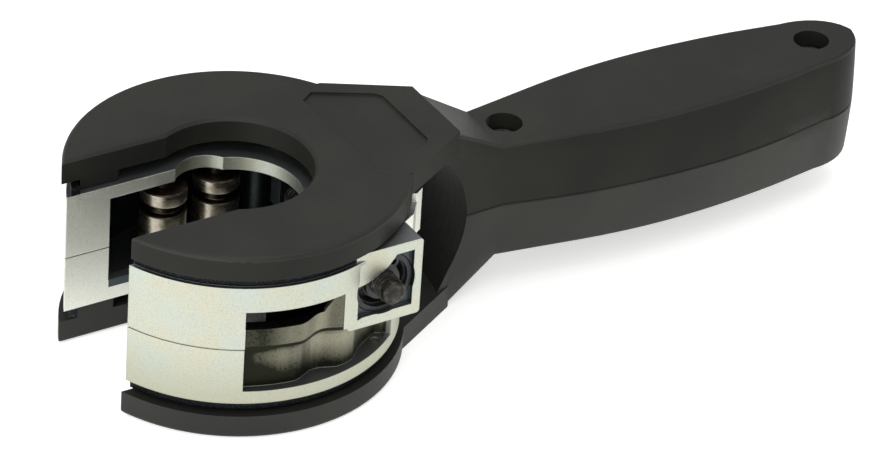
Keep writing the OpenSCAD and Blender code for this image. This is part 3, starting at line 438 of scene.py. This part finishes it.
@dataclass(frozen=True)
class PlatedZinc(Finish):
    """Die-cast zinc, plated and passivated over a shot-blasted skin: pale and a little green, with a fine
    pitted grain and a faint yellow and blue play of the film. Its colour turns a little darker and yellower
    towards the bottom. The near window's wall is painted duller and browner, as shade in the recess, with runs
    of oil, and with painted shade at its left end, below the seam and near the floor. The rooms inside and the
    knob's pocket are painted darker still, as shade, and so are the faces that look up. The slot's faces and the
    web are painted brighter, as highlight, and the toothed rims and the window's ledges near black with paler
    specks, as shade. The grain, some 0.1 mm in the real skin, is drawn at 0.25 and 0.45 mm, because it wouldn't show
    any finer."""

    title: str = "die_cast_zinc_plated"
    base: str = "#c5c8ba"
    yellow: str = "#cbc6ae"
    blue: str = "#bfc9c4"
    # Darker and yellower towards the bottom.
    thin: str = "#b3b39e"
    pit: str = "#949889"
    # Painted highlight: the slot's faces and the web.
    highlight_and_wear: str = "#eceee4"
    # Painted shade: the near window's wall, and its darkest places.
    window_shade: str = "#928f7d"
    oil_and_shade_tone: str = "#25271f"
    # Painted shade: the rooms inside and the knob's pocket.
    room_shade: str = "#4a5355"
    # Painted shade: faces that look up.
    up_shade: str = "#85888a"
    # Painted shade on the toothed rims and the window's ledges, with paler specks.
    gap_shade: str = "#1c1f22"
    gap_shade_speck: str = "#5f6264"
    roughness: Range = (0.38, 0.52)
    film: Cloud = Cloud(9.0, 4.0)
    yellow_film: Range = (0.52, 0.72)
    blue_film: Range = (0.48, 0.3)
    film_share: Range = (0.0, 0.8)
    low_tone_z: Range = (-2.0, -13.0)
    low_tone_share: Range = (0.0, 0.75)
    pits: Cloud = Cloud(0.25, 3.0)
    pit_span: Range = (0.5, 0.8)
    pit_share: Range = (0.0, 0.7)
    skin: Cloud = Cloud(0.45, 4.0)
    looks_up: Range = (0.6, 0.9)
    rooms: Zone = Zone(x=(-23.4, 40.0), away=(-1.0, 11.75), radius=(0.0, 34.5))
    pocket: Zone = Zone(x=(9.8, 25.6), y=(-35.2, -25.0), z=(-0.9, 15.3))
    window: Zone = Zone(y=(-40.0, -17.0), z=(-11.75, 8.78))
    window_left: Zone = Zone(x=(-16.05, 7.0), radius=(0.0, 37.6))
    window_right: Zone = Zone(x=(7.0, 27.0), radius=(0.0, 36.2))
    above_seam: Zone = Zone(z=(0.0, 8.78))
    below_seam: Zone = Zone(z=(-11.75, 0.0))
    rims: Zone = Zone(away=(15.02, 37.6), radius=(0.0, 36.7))
    web: Zone = Zone(x=(26.95, 45.0), radius=(37.7, 50.0))
    slot: Zone = Zone(y=(13.9, 15.2))
    slot_x: Range = (-3.0, -8.0)
    runs: Cloud = Cloud(6.0, 1.0, (1.0, 1.0, 0.12))
    run_span: Range = (0.42, 0.66)
    run_share: Range = (0.0, 0.32)
    spots: Cloud = Cloud(0.5, 3.0)
    spot_share: Range = (0.0, 0.25)
    left_x: Range = (-2.7, -11.7)
    left_share: Range = (0.0, 0.79)
    floor_z: Range = (-5.0, -10.5)
    floor_share: Range = (0.0, 0.8)
    seam_z: Range = (-0.9, -3.4)
    seam_share: Range = (0.95, 0.0)
    corner_x: Range = (3.0, 7.5)
    corner_share: Range = (0.0, 0.6)
    band_share: float = 0.1

    def oil_and_shade(self, graph: Graph) -> Socket:
        """Adds the share of the dark tone on the near window's wall: runs and spots of oil, and painted shade.

        Args:
            graph: Node tree of the material.

        Returns:
            The share's socket.
        """
        above = graph.mask(self.above_seam)
        return graph.join(
            Join.SUM,
            graph.share(self.runs, self.run_span, self.run_share),
            graph.share(self.spots, self.pit_span, self.spot_share),
            # Painted shade: darker at the left end, near the floor, below the seam, towards the right above the
            # seam, and a little all over above it.
            graph.share(Coord.X, self.left_x, self.left_share),
            graph.share(Coord.Z, self.floor_z, self.floor_share),
            graph.join(Join.ALL, graph.share(Coord.Z, self.seam_z, self.seam_share), graph.mask(self.below_seam)),
            graph.join(Join.ALL, graph.share(Coord.X, self.corner_x, self.corner_share), above),
            graph.join(Join.PRODUCT, above, self.band_share),
        )

    def surface(self, graph: Graph) -> dict[str, object]:
        """See Finish.surface."""
        pits = graph.share(self.pits, self.pit_span, self.pit_share)
        up = graph.share(Coord.UP, self.looks_up)
        sides = graph.join(Join.ANY, graph.mask(self.window_left), graph.mask(self.window_right))
        window = graph.join(Join.ALL, graph.mask(self.window), sides)
        ledge = graph.join(Join.ALL, window, up, graph.mask(self.above_seam))
        slot = graph.join(Join.ALL, graph.mask(self.slot), graph.share(Coord.X, self.slot_x))
        colour = graph.paint(
            self.base,
            (graph.share(self.film, self.yellow_film, self.film_share), self.yellow),
            (graph.share(self.film, self.blue_film, self.film_share), self.blue),
            # The colour turns a little darker and yellower towards the bottom.
            (graph.share(Coord.Z, self.low_tone_z, self.low_tone_share), self.thin),
            (pits, self.pit),
            # Painted highlight: the slot's faces and the web are painted brighter.
            (graph.join(Join.ANY, slot, graph.mask(self.web)), graph.paint(self.highlight_and_wear, (pits, self.base))),
            # Painted shade: the rooms inside and the knob's pocket are painted dark.
            (graph.join(Join.ANY, graph.mask(self.rooms), graph.mask(self.pocket)), self.room_shade),
            # Painted shade: the near window's wall is duller and browner, and darker at its ends, floor and seam.
            (window, graph.paint(self.window_shade, (self.oil_and_shade(graph), self.oil_and_shade_tone))),
            # Painted shade: faces that look up are painted darker.
            (up, graph.paint(self.up_shade, (pits, self.pit))),
            # Painted shade: the toothed rims and the window's ledges are painted near black, with paler specks.
            (graph.join(Join.ANY, graph.mask(self.rims), ledge), graph.paint(self.gap_shade, (pits, self.gap_shade_speck))),
        )
        return {
            "Base_Color": colour,
            "Metallic": 1.0,
            "Roughness": graph.share(self.skin, CLOUD_SPAN, self.roughness),
            "Normal": graph.relief(self.skin, depth=0.05, strength=0.3, edge=0.25),
        }


@dataclass(frozen=True)
class TurnedSteel(Finish):
    """Steel turned and ground between centres: fine rings round the axis, small stains of dried coolant, and a
    soft mirror along the axis. The rings, some 0.05 mm apart in real ones, are drawn at 0.12 mm and more,
    because they wouldn't show any finer."""

    title: str = "ground_steel"
    light: str = "#b0a99b"
    dark: str = "#8a8274"
    roughness: Range = (0.24, 0.35)
    ring: float = 0.12
    stains: Cloud = Cloud(1.2, 4.0)
    stain_span: Range = (0.42, 0.72)

    def surface(self, graph: Graph) -> dict[str, object]:
        """See Finish.surface."""
        rings = Cloud(self.ring, 3.0, (0.01, 0.01, 1.0))
        return {
            "Base_Color": graph.paint(self.light, (graph.share(self.stains, self.stain_span), self.dark)),
            "Metallic": 1.0,
            "Roughness": graph.share(rings, CLOUD_SPAN, self.roughness),
            "Normal": graph.relief(rings, depth=0.01, strength=0.12, edge=0.12),
        }


@dataclass(frozen=True)
class BlackOxide(Finish):
    """Steel with a black-oxide skin and a trace of oil: charcoal, paler and smoother in patches, where the skin
    has worn. Its grain is drawn at 0.3 mm, because it wouldn't show any finer."""

    title: str = "black_oxide_steel"
    dark: str = "#343230"
    worn: str = "#5a5650"
    roughness: Range = (0.47, 0.37)
    patches: Cloud = Cloud(1.4, 4.0)
    worn_span: Range = (0.45, 0.75)
    grain: Cloud = Cloud(0.3, 3.0)

    def surface(self, graph: Graph) -> dict[str, object]:
        """See Finish.surface."""
        return {
            "Base_Color": graph.paint(self.dark, (graph.share(self.patches, self.worn_span), self.worn)),
            "Metallic": 1.0,
            "Roughness": graph.share(self.patches, CLOUD_SPAN, self.roughness),
            "Normal": graph.relief(self.grain, depth=0.02, strength=0.2, edge=0.12),
        }


NYLON = MouldedNylon()
# Painted shade: a copy of the nylon that reflects less, so that the upper half's sides look darker.
SIDE_SHADE_NYLON = MouldedNylon("side_shade_nylon", sheen=0.17)
# Painted shade: the ratchet's channel gets a darker copy of the nylon, nearly without reflections.
CHANNEL_SHADE_NYLON = MouldedNylon("channel_shade_nylon", "#0b0b09", "#0f0f0d", "#171715", sheen=0.1)
KNOB = KnobAcetal()
ZINC = PlatedZinc()
ROLLER_STEEL = TurnedSteel()
# Hardened and tempered: greyer and duller than the rollers, with coarser grinding marks.
TOOL_STEEL = TurnedSteel("hardened_tool_steel", "#8d8e90", "#6b6c6e", (0.26, 0.37), 0.25)
# Drawn, cut and bright zinc plated: palest and least smooth.
BRIGHT_SCREW = TurnedSteel("bright_zinc_plated_screw_steel", "#c9cac8", "#a5a6a3", (0.32, 0.43), 0.5)
OXIDE = BlackOxide()
# Never handled and wet with oil: blacker than the screw.
OILED_OXIDE = BlackOxide("oiled_black_oxide_steel", "#1f1e1d", "#2e2c2a", (0.55, 0.45))
# Blued by hardening: brown-black, and smoother than the oxide.
BLUED = BlackOxide("blued_roller_steel", "#38322e", "#5b5248", (0.43, 0.33))

FINISHES: dict[Slot, Finish] = {
    Slot.NYLON: NYLON,
    Slot.KNOB: KNOB,
    Slot.ZINC: ZINC,
    Slot.ROLLER: ROLLER_STEEL,
    Slot.TOOL_STEEL: TOOL_STEEL,
    Slot.OXIDE: OXIDE,
    Slot.SCREW: BRIGHT_SCREW,
}


# Mesh tools, in millimetres, round the Z axis


class Ends(Enum):
    """Ends of an outline: free, or joined to each other as round a bore or a wire."""

    FREE = 0
    JOINED = 1


class Hand(Enum):
    """Hand of a helix, as the sign of its turn."""

    LEFT = -1
    RIGHT = 1


def sweep(
    bm: bmesh.types.BMesh, outline: list[Range], ends: Ends, angle: float, steps: int, rise: float = 0.0
) -> None:
    """Sweeps an outline round the Z axis, upwards where it rises and else once round to its start.

    Args:
        bm: Mesh that gets the swept shape.
        outline: Radius and height of each corner.
        ends: Whether the outline closes on itself.
        angle: Angle of the whole sweep.
        steps: Number of segments.
        rise: Rise of each segment.
    """
    corners = [bm.verts.new((r, 0, z)) for r, z in outline]
    edges = [bm.edges.new(pair) for pair in zip(corners, corners[1:])]
    if ends is Ends.JOINED:
        edges.append(bm.edges.new((corners[-1], corners[0])))
    bmesh.ops.spin(
        bm,
        geom=corners + edges,
        cent=(0, 0, 0),
        axis=(0, 0, 1),
        dvec=(0, 0, rise),
        angle=angle,
        steps=steps,
        use_merge=rise == 0,
        use_normal_flip=False,
        use_duplicate=False,
    )
    bmesh.ops.remove_doubles(bm, verts=bm.verts, dist=WELD)


def lathe(bm: bmesh.types.BMesh, outline: list[Range], ends: Ends) -> None:
    """Turns an outline once round the Z axis.

    Args:
        bm: Mesh that gets the turned shape.
        outline: Radius and height of each corner.
        ends: Whether the outline closes on itself.
    """
    sweep(bm, outline, ends, math.tau, ROUND_STEPS)
    bmesh.ops.recalc_face_normals(bm, faces=bm.faces)


def helix(
    bm: bmesh.types.BMesh, outline: list[Range], ends: Ends, pitch: float, turns: float, hand: Hand, steps: int
) -> None:
    """Winds an outline along a helix round the Z axis, from its place upwards.

    Args:
        bm: Mesh that gets the winding.
        outline: Radius and height of each corner.
        ends: Joined for a wire, free for one pitch of a thread.
        pitch: Rise per turn.
        turns: Number of turns.
        hand: Hand of the winding.
        steps: Number of segments per turn.
    """
    count = round(steps * turns)
    sweep(bm, outline, ends, hand.value * math.tau * count / steps, count, pitch / steps)


def break_edges(bm: bmesh.types.BMesh, radius: float, sharp_deg: float, segments: int) -> None:
    """Rounds the sharp edges of a mesh.

    Args:
        bm: Mesh to round.
        radius: Width of the rounding.
        sharp_deg: Least angle between the faces of an edge that is rounded.
        segments: Number of steps in the rounding.
    """
    limit = math.radians(sharp_deg)
    sharp = [e for e in bm.edges if len(e.link_faces) == 2 and e.calc_face_angle() > limit]
    bmesh.ops.bevel(
        bm,
        geom=sharp,
        offset=radius,
        offset_type="OFFSET",
        affect="EDGES",
        segments=segments,
        profile=0.5,
        material=-1,
        clamp_overlap=True,
    )


def trim(bm: bmesh.types.BMesh, low: float, high: float) -> None:
    """Cuts a mesh off flat at two heights and closes the cuts.

    Args:
        bm: Mesh to trim.
        low: Height of the lower cut.
        high: Height of the upper cut.
    """
    for height, way in ((low, -1), (high, 1)):
        cut = bmesh.ops.bisect_plane(
            bm,
            geom=bm.verts[:] + bm.edges[:] + bm.faces[:],
            dist=WELD,
            plane_co=(0, 0, height),
            plane_no=(0, 0, way),
            clear_outer=True,
            clear_inner=False,
        )
        rim = [e for e in cut["geom_cut"] if isinstance(e, bmesh.types.BMEdge)]
        bmesh.ops.edgeloop_fill(bm, edges=rim)
    bmesh.ops.recalc_face_normals(bm, faces=bm.faces)


def close_ends(bm: bmesh.types.BMesh) -> None:
    """Closes the open ends of a wire."""
    bmesh.ops.holes_fill(bm, edges=[e for e in bm.edges if e.is_boundary], sides=0)
    bmesh.ops.recalc_face_normals(bm, faces=bm.faces)


def finish_by_radius(bm: bmesh.types.BMesh, radius: float, inner: int, outer: int) -> None:
    """Gives the faces of a mesh one of two finishes, by their distance from the Z axis.

    Args:
        bm: Mesh to finish.
        radius: Distance at which the finish changes.
        inner: Index of the finish up to it.
        outer: Index of the finish beyond it.
    """
    for face in bm.faces:
        face.material_index = outer if face.calc_center_median().xy.length > radius else inner


def along(start: Vector, way: Vector) -> Matrix:
    """Gives the matrix that stands a shape made round Z on a start point, along a direction.

    Args:
        start: Place of the shape's origin.
        way: Direction that its Z axis gets.

    Returns:
        The matrix.
    """
    return Matrix.Translation(start) @ way.normalized().to_track_quat("Z", "Y").to_matrix().to_4x4()


def publish(
    bm: bmesh.types.BMesh,
    name: str,
    place: Matrix,
    body: str,
    finishes: list[Finish],
    nodes: list[str],
    smooth_deg: float = 35.0,
) -> bpy.types.Object:
    """Turns a mesh into a piece that stands for CAD nodes.

    Args:
        bm: Mesh in millimetres, freed by this call.
        name: Name of the piece.
        place: Matrix that puts the mesh in its place, in millimetres.
        body: Body that the piece rides on.
        finishes: Finishes, in the order of the faces' material indices.
        nodes: CAD nodes that it replaces.
        smooth_deg: Angle between two faces from which their edge is sharp.

    Returns:
        The piece.
    """
    bmesh.ops.transform(bm, matrix=Matrix.Scale(MM, 4) @ place, verts=bm.verts)
    for face in bm.faces:
        face.smooth = True
    mesh = bpy.data.meshes.new(name)
    bm.to_mesh(mesh)
    bm.free()
    mesh.set_sharp_from_angle(angle=math.radians(smooth_deg))
    for finish in finishes:
        mesh.materials.append(finish.material())
    piece = bpy.data.objects.new(name, mesh)
    bpy.context.scene.collection.objects.link(piece)
    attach(piece, body)
    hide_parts(*nodes)
    LOG.info("built %s on %s, %d faces", name, body, len(mesh.polygons))
    return piece


def corners_mm(node: str) -> tuple[Vector, Vector]:
    """Gives a node's lowest and highest corner in millimetres."""
    low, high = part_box(node)
    return Vector(low) / MM, Vector(high) / MM


# Sub-assemblies, in millimetres and degrees


@dataclass(frozen=True)
class Roller:
    """A hardened guide roller: ground bands that the pipe rolls on, a deep groove that clears the cutter wheel,
    and blued ends, turned with rounded edges."""

    node: str
    band: float = 3.4
    groove: float = 2.4
    groove_deep: float = 1.8
    bore: float = 1.55
    edge: float = 0.45
    edge_deg: float = 40.0
    edge_segments: int = 4
    ground_deep: float = 0.06

    def build(self) -> None:
        """Builds and dresses the roller."""
        low, high = corners_mm(self.node)
        radius = (high.x - low.x) / 2
        tall = high.z - low.z
        lip = tall - self.band
        bm = bmesh.new()
        lathe(
            bm,
            [
                (self.bore, 0),
                (radius, 0),
                (radius, lip - self.groove),
                (radius - self.groove_deep, lip - self.groove),
                (radius - self.groove_deep, lip),
                (radius, lip),
                (radius, tall),
                (self.bore, tall),
            ],
            Ends.JOINED,
        )
        break_edges(bm, self.edge, self.edge_deg, self.edge_segments)
        finish_by_radius(bm, radius - self.ground_deep, inner=1, outer=0)
        place = Matrix.Translation(((low.x + high.x) / 2, (low.y + high.y) / 2, low.z))
        publish(bm, self.node + "_turned", place, self.node, [ROLLER_STEEL, BLUED], [self.node])


@dataclass(frozen=True)
class CutterWheel:
    """The cutter wheel: a hub with broken corners and a thin disc ground on both sides to a keen edge."""

    node: str = "cutter_wheel"
    bore: float = 2.05
    hub: float = 4.4
    chamfer: float = 0.25
    fillet: float = 0.5
    fillet_mid: float = 0.15
    blade: float = 1.2
    edge_width: float = 1.8
    keen_width: float = 0.5
    keen_half: float = 0.16
    ground_gap: float = 0.01

    def build(self) -> None:
        """Builds and dresses the wheel."""
        low, high = corners_mm(self.node)
        radius = (high.x - low.x) / 2
        half = (high.z - low.z) / 2
        thin = self.blade / 2
        upper = [
            (self.bore, half),
            (self.hub - self.chamfer, half),
            (self.hub, half - self.chamfer),
            (self.hub, thin + self.fillet),
            (self.hub + self.fillet_mid, thin + self.fillet_mid),
            (self.hub + self.fillet, thin),
            (radius - self.edge_width, thin),
            (radius - self.keen_width, self.keen_half),
        ]
        bm = bmesh.new()
        lathe(bm, [(r, -z) for r, z in upper] + [(radius, 0)] + upper[::-1], Ends.JOINED)
        finish_by_radius(bm, radius - self.edge_width + self.ground_gap, inner=0, outer=1)
        place = Matrix.Translation((low + high) / 2)
        publish(bm, "cutter_wheel_ground", place, self.node, [TOOL_STEEL, BRIGHT_SCREW], [self.node])


@dataclass(frozen=True)
class FeedScrew:
    """The feed screw: a left-hand M6 thread, rolled, so that turning the knob clockwise closes the wheel. It has a
    plain domed tip, a plain journal through the knob and the box wall, a ring groove and an end journal. The dome
    is given by each ring's distance from the tip's side and end, the flank by heights in pitches, and the gaps
    are what each stretch of thread keeps clear at its ends."""

    node: str = "feed_screw"
    pitch: float = 1.0
    root: float = 2.459
    flank: tuple[float, float, float] = (0.25, 0.5625, 0.6875)
    spare_turns: float = 1.5
    steps: int = 40
    tip_len: float = 1.5
    tip_radius: float = 2.8
    dome: tuple[Range, ...] = ((1.12, 0.05), (0.35, 0.16), (0.08, 0.4), (0.0, 0.7))
    run_out: float = 0.3
    journal_radius: float = 2.97
    journal_chamfer: Range = (0.2, 0.1)
    ring_groove: float = 2.4
    collar: float = 0.3
    end_journal: float = 2.0
    end_len: float = 4.0
    end_shoulder: float = 0.4
    end_chamfer: float = 0.3
    front_gaps: Range = (0.1, 0.15)
    back_gaps: Range = (0.1, 0.2)

    def thread(self, bm: bmesh.types.BMesh, crest: float, low: float, high: float) -> None:
        """Adds a stretch of thread.

        Args:
            bm: Mesh that gets the thread.
            crest: Radius of the crests.
            low: Height of its lower end.
            high: Height of its upper end.
        """
        rise, top, fall = self.flank
        outline = [(self.root, 0.0), (self.root, rise), (crest, top), (crest, fall), (self.root, 1.0)]
        start = low - self.spare_turns * self.pitch
        turns = (high - low) / self.pitch + 2 * self.spare_turns
        part = bmesh.new()
        placed = [(r, start + z * self.pitch) for r, z in outline]
        helix(part, placed, Ends.FREE, self.pitch, turns, Hand.LEFT, self.steps)
        trim(part, low, high)
        piece = bpy.data.meshes.new("thread_part")
        part.to_mesh(piece)
        part.free()
        bm.from_mesh(piece)
        bpy.data.meshes.remove(piece)

    def build(self) -> None:
        """Builds and dresses the screw along +Y, from its tip."""
        low, high = corners_mm(self.node)
        ring_low, ring_high = corners_mm("retaining_ring")
        knob = corners_mm("feed_knob")[0].y - low.y
        ring_start = ring_low.y - low.y
        ring_end = ring_high.y - low.y
        total = high.y - low.y
        step = total - self.end_len
        r, j = self.tip_radius, self.journal_radius
        in_from_side, up_from_end = self.journal_chamfer
        bm = bmesh.new()
        lathe(
            bm,
            [
                (0, 0),
                *((r - inward, up) for inward, up in self.dome),
                (r, self.tip_len),
                (self.root, self.tip_len + self.run_out),
                (self.root, knob - self.run_out),
                (j - in_from_side, knob - up_from_end),
                (j, knob + up_from_end),
                (j, ring_start),
                (self.ring_groove, ring_start),
                (self.ring_groove, ring_end),
                (j, ring_end),
                (j, ring_end + self.collar),
                (self.root, ring_end + self.collar + self.run_out),
                (self.root, step - self.end_shoulder),
                (self.end_journal, step),
                (self.end_journal, total - self.end_chamfer),
                (self.end_journal - self.end_chamfer, total),
                (0, total),
            ],
            Ends.FREE,
        )
        crest = (high.x - low.x) / 2
        self.thread(bm, crest, self.tip_len + self.front_gaps[0], knob - self.front_gaps[1])
        self.thread(bm, crest, ring_end + self.collar + self.back_gaps[0], step - self.back_gaps[1])
        axis = Vector(((low.x + high.x) / 2, low.y, (low.z + high.z) / 2))
        publish(bm, "feed_screw_threaded", along(axis, Vector((0, 1, 0))), "feed", [OXIDE], [self.node])


class Side(Enum):
    """Side of the handle, as the sign of its angle to it."""

    LEFT = 1
    RIGHT = -1


@dataclass(frozen=True)
class PawlSpring:
    """A compression spring behind a pawl: six turns of round spring wire."""

    node: str
    joint: str
    side: Side
    pawl_angle: float = 38.0
    inner: float = 21.9
    outer_radius: float = 1.5
    wire: float = 0.45
    wire_sides: int = 10
    length: float = 4.6
    turns: int = 6
    steps: int = 32
    travel: float = 1.0

    def build(self) -> None:
        """Builds and dresses the spring."""
        low, high = corners_mm(self.node)
        r = self.wire / 2
        middle = self.outer_radius - r
        angles = (k * math.tau / self.wire_sides for k in range(self.wire_sides))
        ring = [(middle + r * math.cos(a), r + r * math.sin(a)) for a in angles]
        bm = bmesh.new()
        helix(bm, ring, Ends.JOINED, (self.length - 2 * r) / self.turns, self.turns, Hand.RIGHT, self.steps)
        close_ends(bm)
        turn = math.radians(self.side.value * self.pawl_angle)
        way = Vector((math.cos(turn), math.sin(turn), 0))
        start = self.inner * way + Vector((0, 0, (low.z + high.z) / 2))
        place = along(start, way)
        piece = publish(bm, self.node + "_coiled", place, "handle", [BRIGHT_SCREW], [self.node])
        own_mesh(piece)


class Skin(IntEnum):
    """The finishes of a handle shell, in the order of its faces' material indices."""

    MOULD = 0
    SIDE = 1
    # Painted shade of the ratchet's channel.
    CHANNEL_SHADE = 2


@dataclass(frozen=True)
class MouldedShell:
    """A half of the handle, with the smooth curves that the mould gives its faces. A face is a side where its
    direction rises less than a limit, which is lower on the plates, so that their rounded rims go with the tops.
    The sides get the half's own side finish, which on the upper half is a copy of the nylon with painted shade.
    The faces of the ratchet's channel that look at the head get a darker copy of the nylon, as painted shade."""

    node: str
    sides: Finish
    smooth_deg: float = 28.0
    flat_deg: float = 0.2
    side_rise: float = 0.33
    plate_rise: float = 0.15
    plate_r: float = 45.0
    channel_r: Range = (38.7, 56.0)
    channel_z: float = 17.65
    channel_way: float = -0.3

    def skin(self, face: bmesh.types.BMFace) -> Skin:
        """Gives the finish of a face.

        Args:
            face: The face, in millimetres.

        Returns:
            Its finish.
        """
        centre = face.calc_center_median()
        radius = centre.xy.length
        inside = self.channel_r[0] < radius < self.channel_r[1] and abs(centre.z) < self.channel_z
        # Painted shade: the channel's faces that look at the head get the darker copy.
        if inside and face.normal.x < self.channel_way:
            return Skin.CHANNEL_SHADE
        rise = self.plate_rise if radius < self.plate_r else self.side_rise
        return Skin.SIDE if abs(face.normal.z) < rise else Skin.MOULD

    def build(self) -> None:
        """Builds and dresses the half from the CAD node's own mesh."""
        bm = bmesh.new()
        bm.from_mesh(frame["nodes"][self.node].data)
        bmesh.ops.scale(bm, vec=(1 / MM, 1 / MM, 1 / MM), verts=bm.verts)
        bmesh.ops.remove_doubles(bm, verts=bm.verts, dist=WELD)
        bmesh.ops.dissolve_limit(bm, angle_limit=math.radians(self.flat_deg), verts=bm.verts, edges=bm.edges)
        bmesh.ops.recalc_face_normals(bm, faces=bm.faces)
        for face in bm.faces:
            face.material_index = self.skin(face)
        finishes = [NYLON, self.sides, CHANNEL_SHADE_NYLON]
        piece = publish(
            bm, self.node + "_smooth", Matrix(), "handle", finishes, [self.node], self.smooth_deg
        )
        for face in piece.data.polygons:
            face.use_smooth = face.material_index != Skin.CHANNEL_SHADE
        flats = piece.modifiers.new("flats_stay_flat", "WEIGHTED_NORMAL")
        flats.mode = "FACE_AREA_WITH_ANGLE"
        flats.keep_sharp = True


@dataclass(frozen=True)
class CadParts:
    """The CAD nodes that are shown as they are, each with the finish of its slot or one of its own."""

    slots: dict[str, Slot] = field(
        default_factory=lambda: {p["node"]: Slot(p["material_slot"]) for p in frame["record"]["subparts"]}
    )
    own: dict[str, Finish] = field(
        default_factory=lambda: {"roller_pin_outer": BLUED, "roller_pin_inner": BLUED, "wheel_carriage": OILED_OXIDE}
    )

    def build(self) -> None:
        """Gives every CAD node its finish."""
        for name, slot in self.slots.items():
            finish = self.own.get(name, FINISHES[slot])
            finish.dress(frame["nodes"][name])
            LOG.info("dressed %s as %s", name, finish.title)


# Studio and camera, in metres


@dataclass(frozen=True)
class SoftBox:
    """A square soft box that faces the head of the tool."""

    name: str
    place: tuple[float, float, float]
    size: float
    watts: float
    target: tuple[float, float, float] = (0.05, 0.0, 0.0)

    def build(self) -> None:
        """Hangs the soft box."""
        lamp = bpy.data.lights.new(self.name, "AREA")
        lamp.shape = "SQUARE"
        lamp.size = self.size
        lamp.energy = self.watts
        holder = bpy.data.objects.new(self.name, lamp)
        bpy.context.scene.collection.objects.link(holder)
        holder.location = self.place
        aim = Vector(self.target) - Vector(self.place)
        holder.rotation_euler = aim.to_track_quat("-Z", "Y").to_euler()


@dataclass(frozen=True)
class Studio:
    """Floor, surrounding light and soft boxes."""

    floor_z: float = -23.5 * MM
    floor_half: float = 3.0
    floor_colour: str = "#f4f4f2"
    floor_glow: float = 0.5
    surround: float = 0.58
    boxes: tuple[SoftBox, ...] = (
        SoftBox("soft_box_top", (0.1, -0.1, 1.2), 1.0, 4.0),
        SoftBox("soft_box_front", (-0.75, -0.85, 0.6), 1.0, 5.4),
        SoftBox("soft_box_left", (-0.95, -0.1, 0.25), 0.8, 3.0),
    )

    def paper(self) -> bpy.types.Material:
        """Makes white seamless paper: matte, with a glow that only the camera, reflections and clear parts see.

        Returns:
            The paper's material.
        """
        paper = bpy.data.materials.new("white_paper_floor")
        paper.use_nodes = True
        graph = Graph(paper.node_tree)
        path = graph.add("ShaderNodeLightPath")
        rays = [path[name] for name in ("Is Camera Ray", "Is Transmission Ray", "Is Glossy Ray")]
        seen = graph.join(Join.PRODUCT, graph.join(Join.ANY, *rays), self.floor_glow)
        diffuse = graph.add("ShaderNodeBsdfDiffuse", Color=linear(self.floor_colour))
        glow = graph.add("ShaderNodeEmission", Strength=seen)
        both = graph.add("ShaderNodeAddShader", in_0=diffuse[0], in_1=glow[0])
        graph.add("ShaderNodeOutputMaterial", Surface=both[0])
        return paper

    def floor(self) -> None:
        """Lays the pale floor, which stays white to the camera and keeps the object's shadow."""
        bm = bmesh.new()
        bmesh.ops.create_grid(bm, x_segments=1, y_segments=1, size=self.floor_half)
        bmesh.ops.translate(bm, verts=bm.verts, vec=(0, 0, self.floor_z))
        mesh = bpy.data.meshes.new("studio_floor")
        bm.to_mesh(mesh)
        bm.free()
        mesh.materials.append(self.paper())
        piece = bpy.data.objects.new("studio_floor", mesh)
        bpy.context.scene.collection.objects.link(piece)

    def world(self) -> None:
        """Surrounds the scene with the even light of the room beyond the soft boxes."""
        world = bpy.data.worlds.new("studio_surround")
        bpy.context.scene.world = world
        world.use_nodes = True
        graph = Graph(world.node_tree)
        back = graph.add("ShaderNodeBackground", Color=(1, 1, 1, 1), Strength=self.surround)
        graph.add("ShaderNodeOutputWorld", Surface=back[0])

    def build(self) -> None:
        """Sets up the whole studio."""
        self.floor()
        self.world()
        for box in self.boxes:
            box.build()


@dataclass(frozen=True)
class PhotoCamera:
    """The camera, fitted to the photograph: it stands off the head's centre and looks down on the tool. Its angles
    are in degrees, its place and sensor in millimetres, and its focal length and image in pixels."""

    azimuth: float = -32.949
    elevation: float = 33.15
    roll: float = 3.974
    right: float = 45.573
    above: float = 4.801
    distance: float = 1180.901
    focal_px: float = 5344.061
    image_px: int = 881
    sensor: float = 36.0
    clip_near: float = 0.05
    clip_far: float = 20.0

    def build(self) -> None:
        """Makes the camera and sets it as the scene's."""
        turn = (
            Matrix.Rotation(math.radians(self.azimuth), 3, "Z")
            @ Matrix.Rotation(math.radians(90 - self.elevation), 3, "X")
            @ Matrix.Rotation(math.radians(self.roll), 3, "Z")
        )
        data = bpy.data.cameras.new("photo_camera")
        data.sensor_width = self.sensor
        data.lens = self.focal_px * self.sensor / self.image_px
        data.clip_start = self.clip_near
        data.clip_end = self.clip_far
        camera = bpy.data.objects.new("photo_camera", data)
        bpy.context.scene.collection.objects.link(camera)
        place = turn @ Vector((self.right, self.above, self.distance)) * MM
        camera.matrix_world = Matrix.Translation(place) @ turn.to_4x4()
        bpy.context.scene.camera = camera


def main() -> None:
    """Builds the classes in order."""
    logging.basicConfig(level=logging.INFO, format="%(name)s: %(message)s")
    PhotoCamera().build()
    Studio().build()
    CadParts().build()
    MouldedShell("handle_shell_upper", SIDE_SHADE_NYLON).build()
    MouldedShell("handle_shell_lower", NYLON).build()
    Roller("roller_outer").build()
    Roller("roller_inner").build()
    CutterWheel().build()
    FeedScrew().build()
    PawlSpring("pawl_spring_left", "pawl_left_slide", Side.LEFT).build()
    PawlSpring("pawl_spring_right", "pawl_right_slide", Side.RIGHT).build()
    bpy.context.scene.view_settings.view_transform = "Standard"


if __name__ == "__main__":
    main()
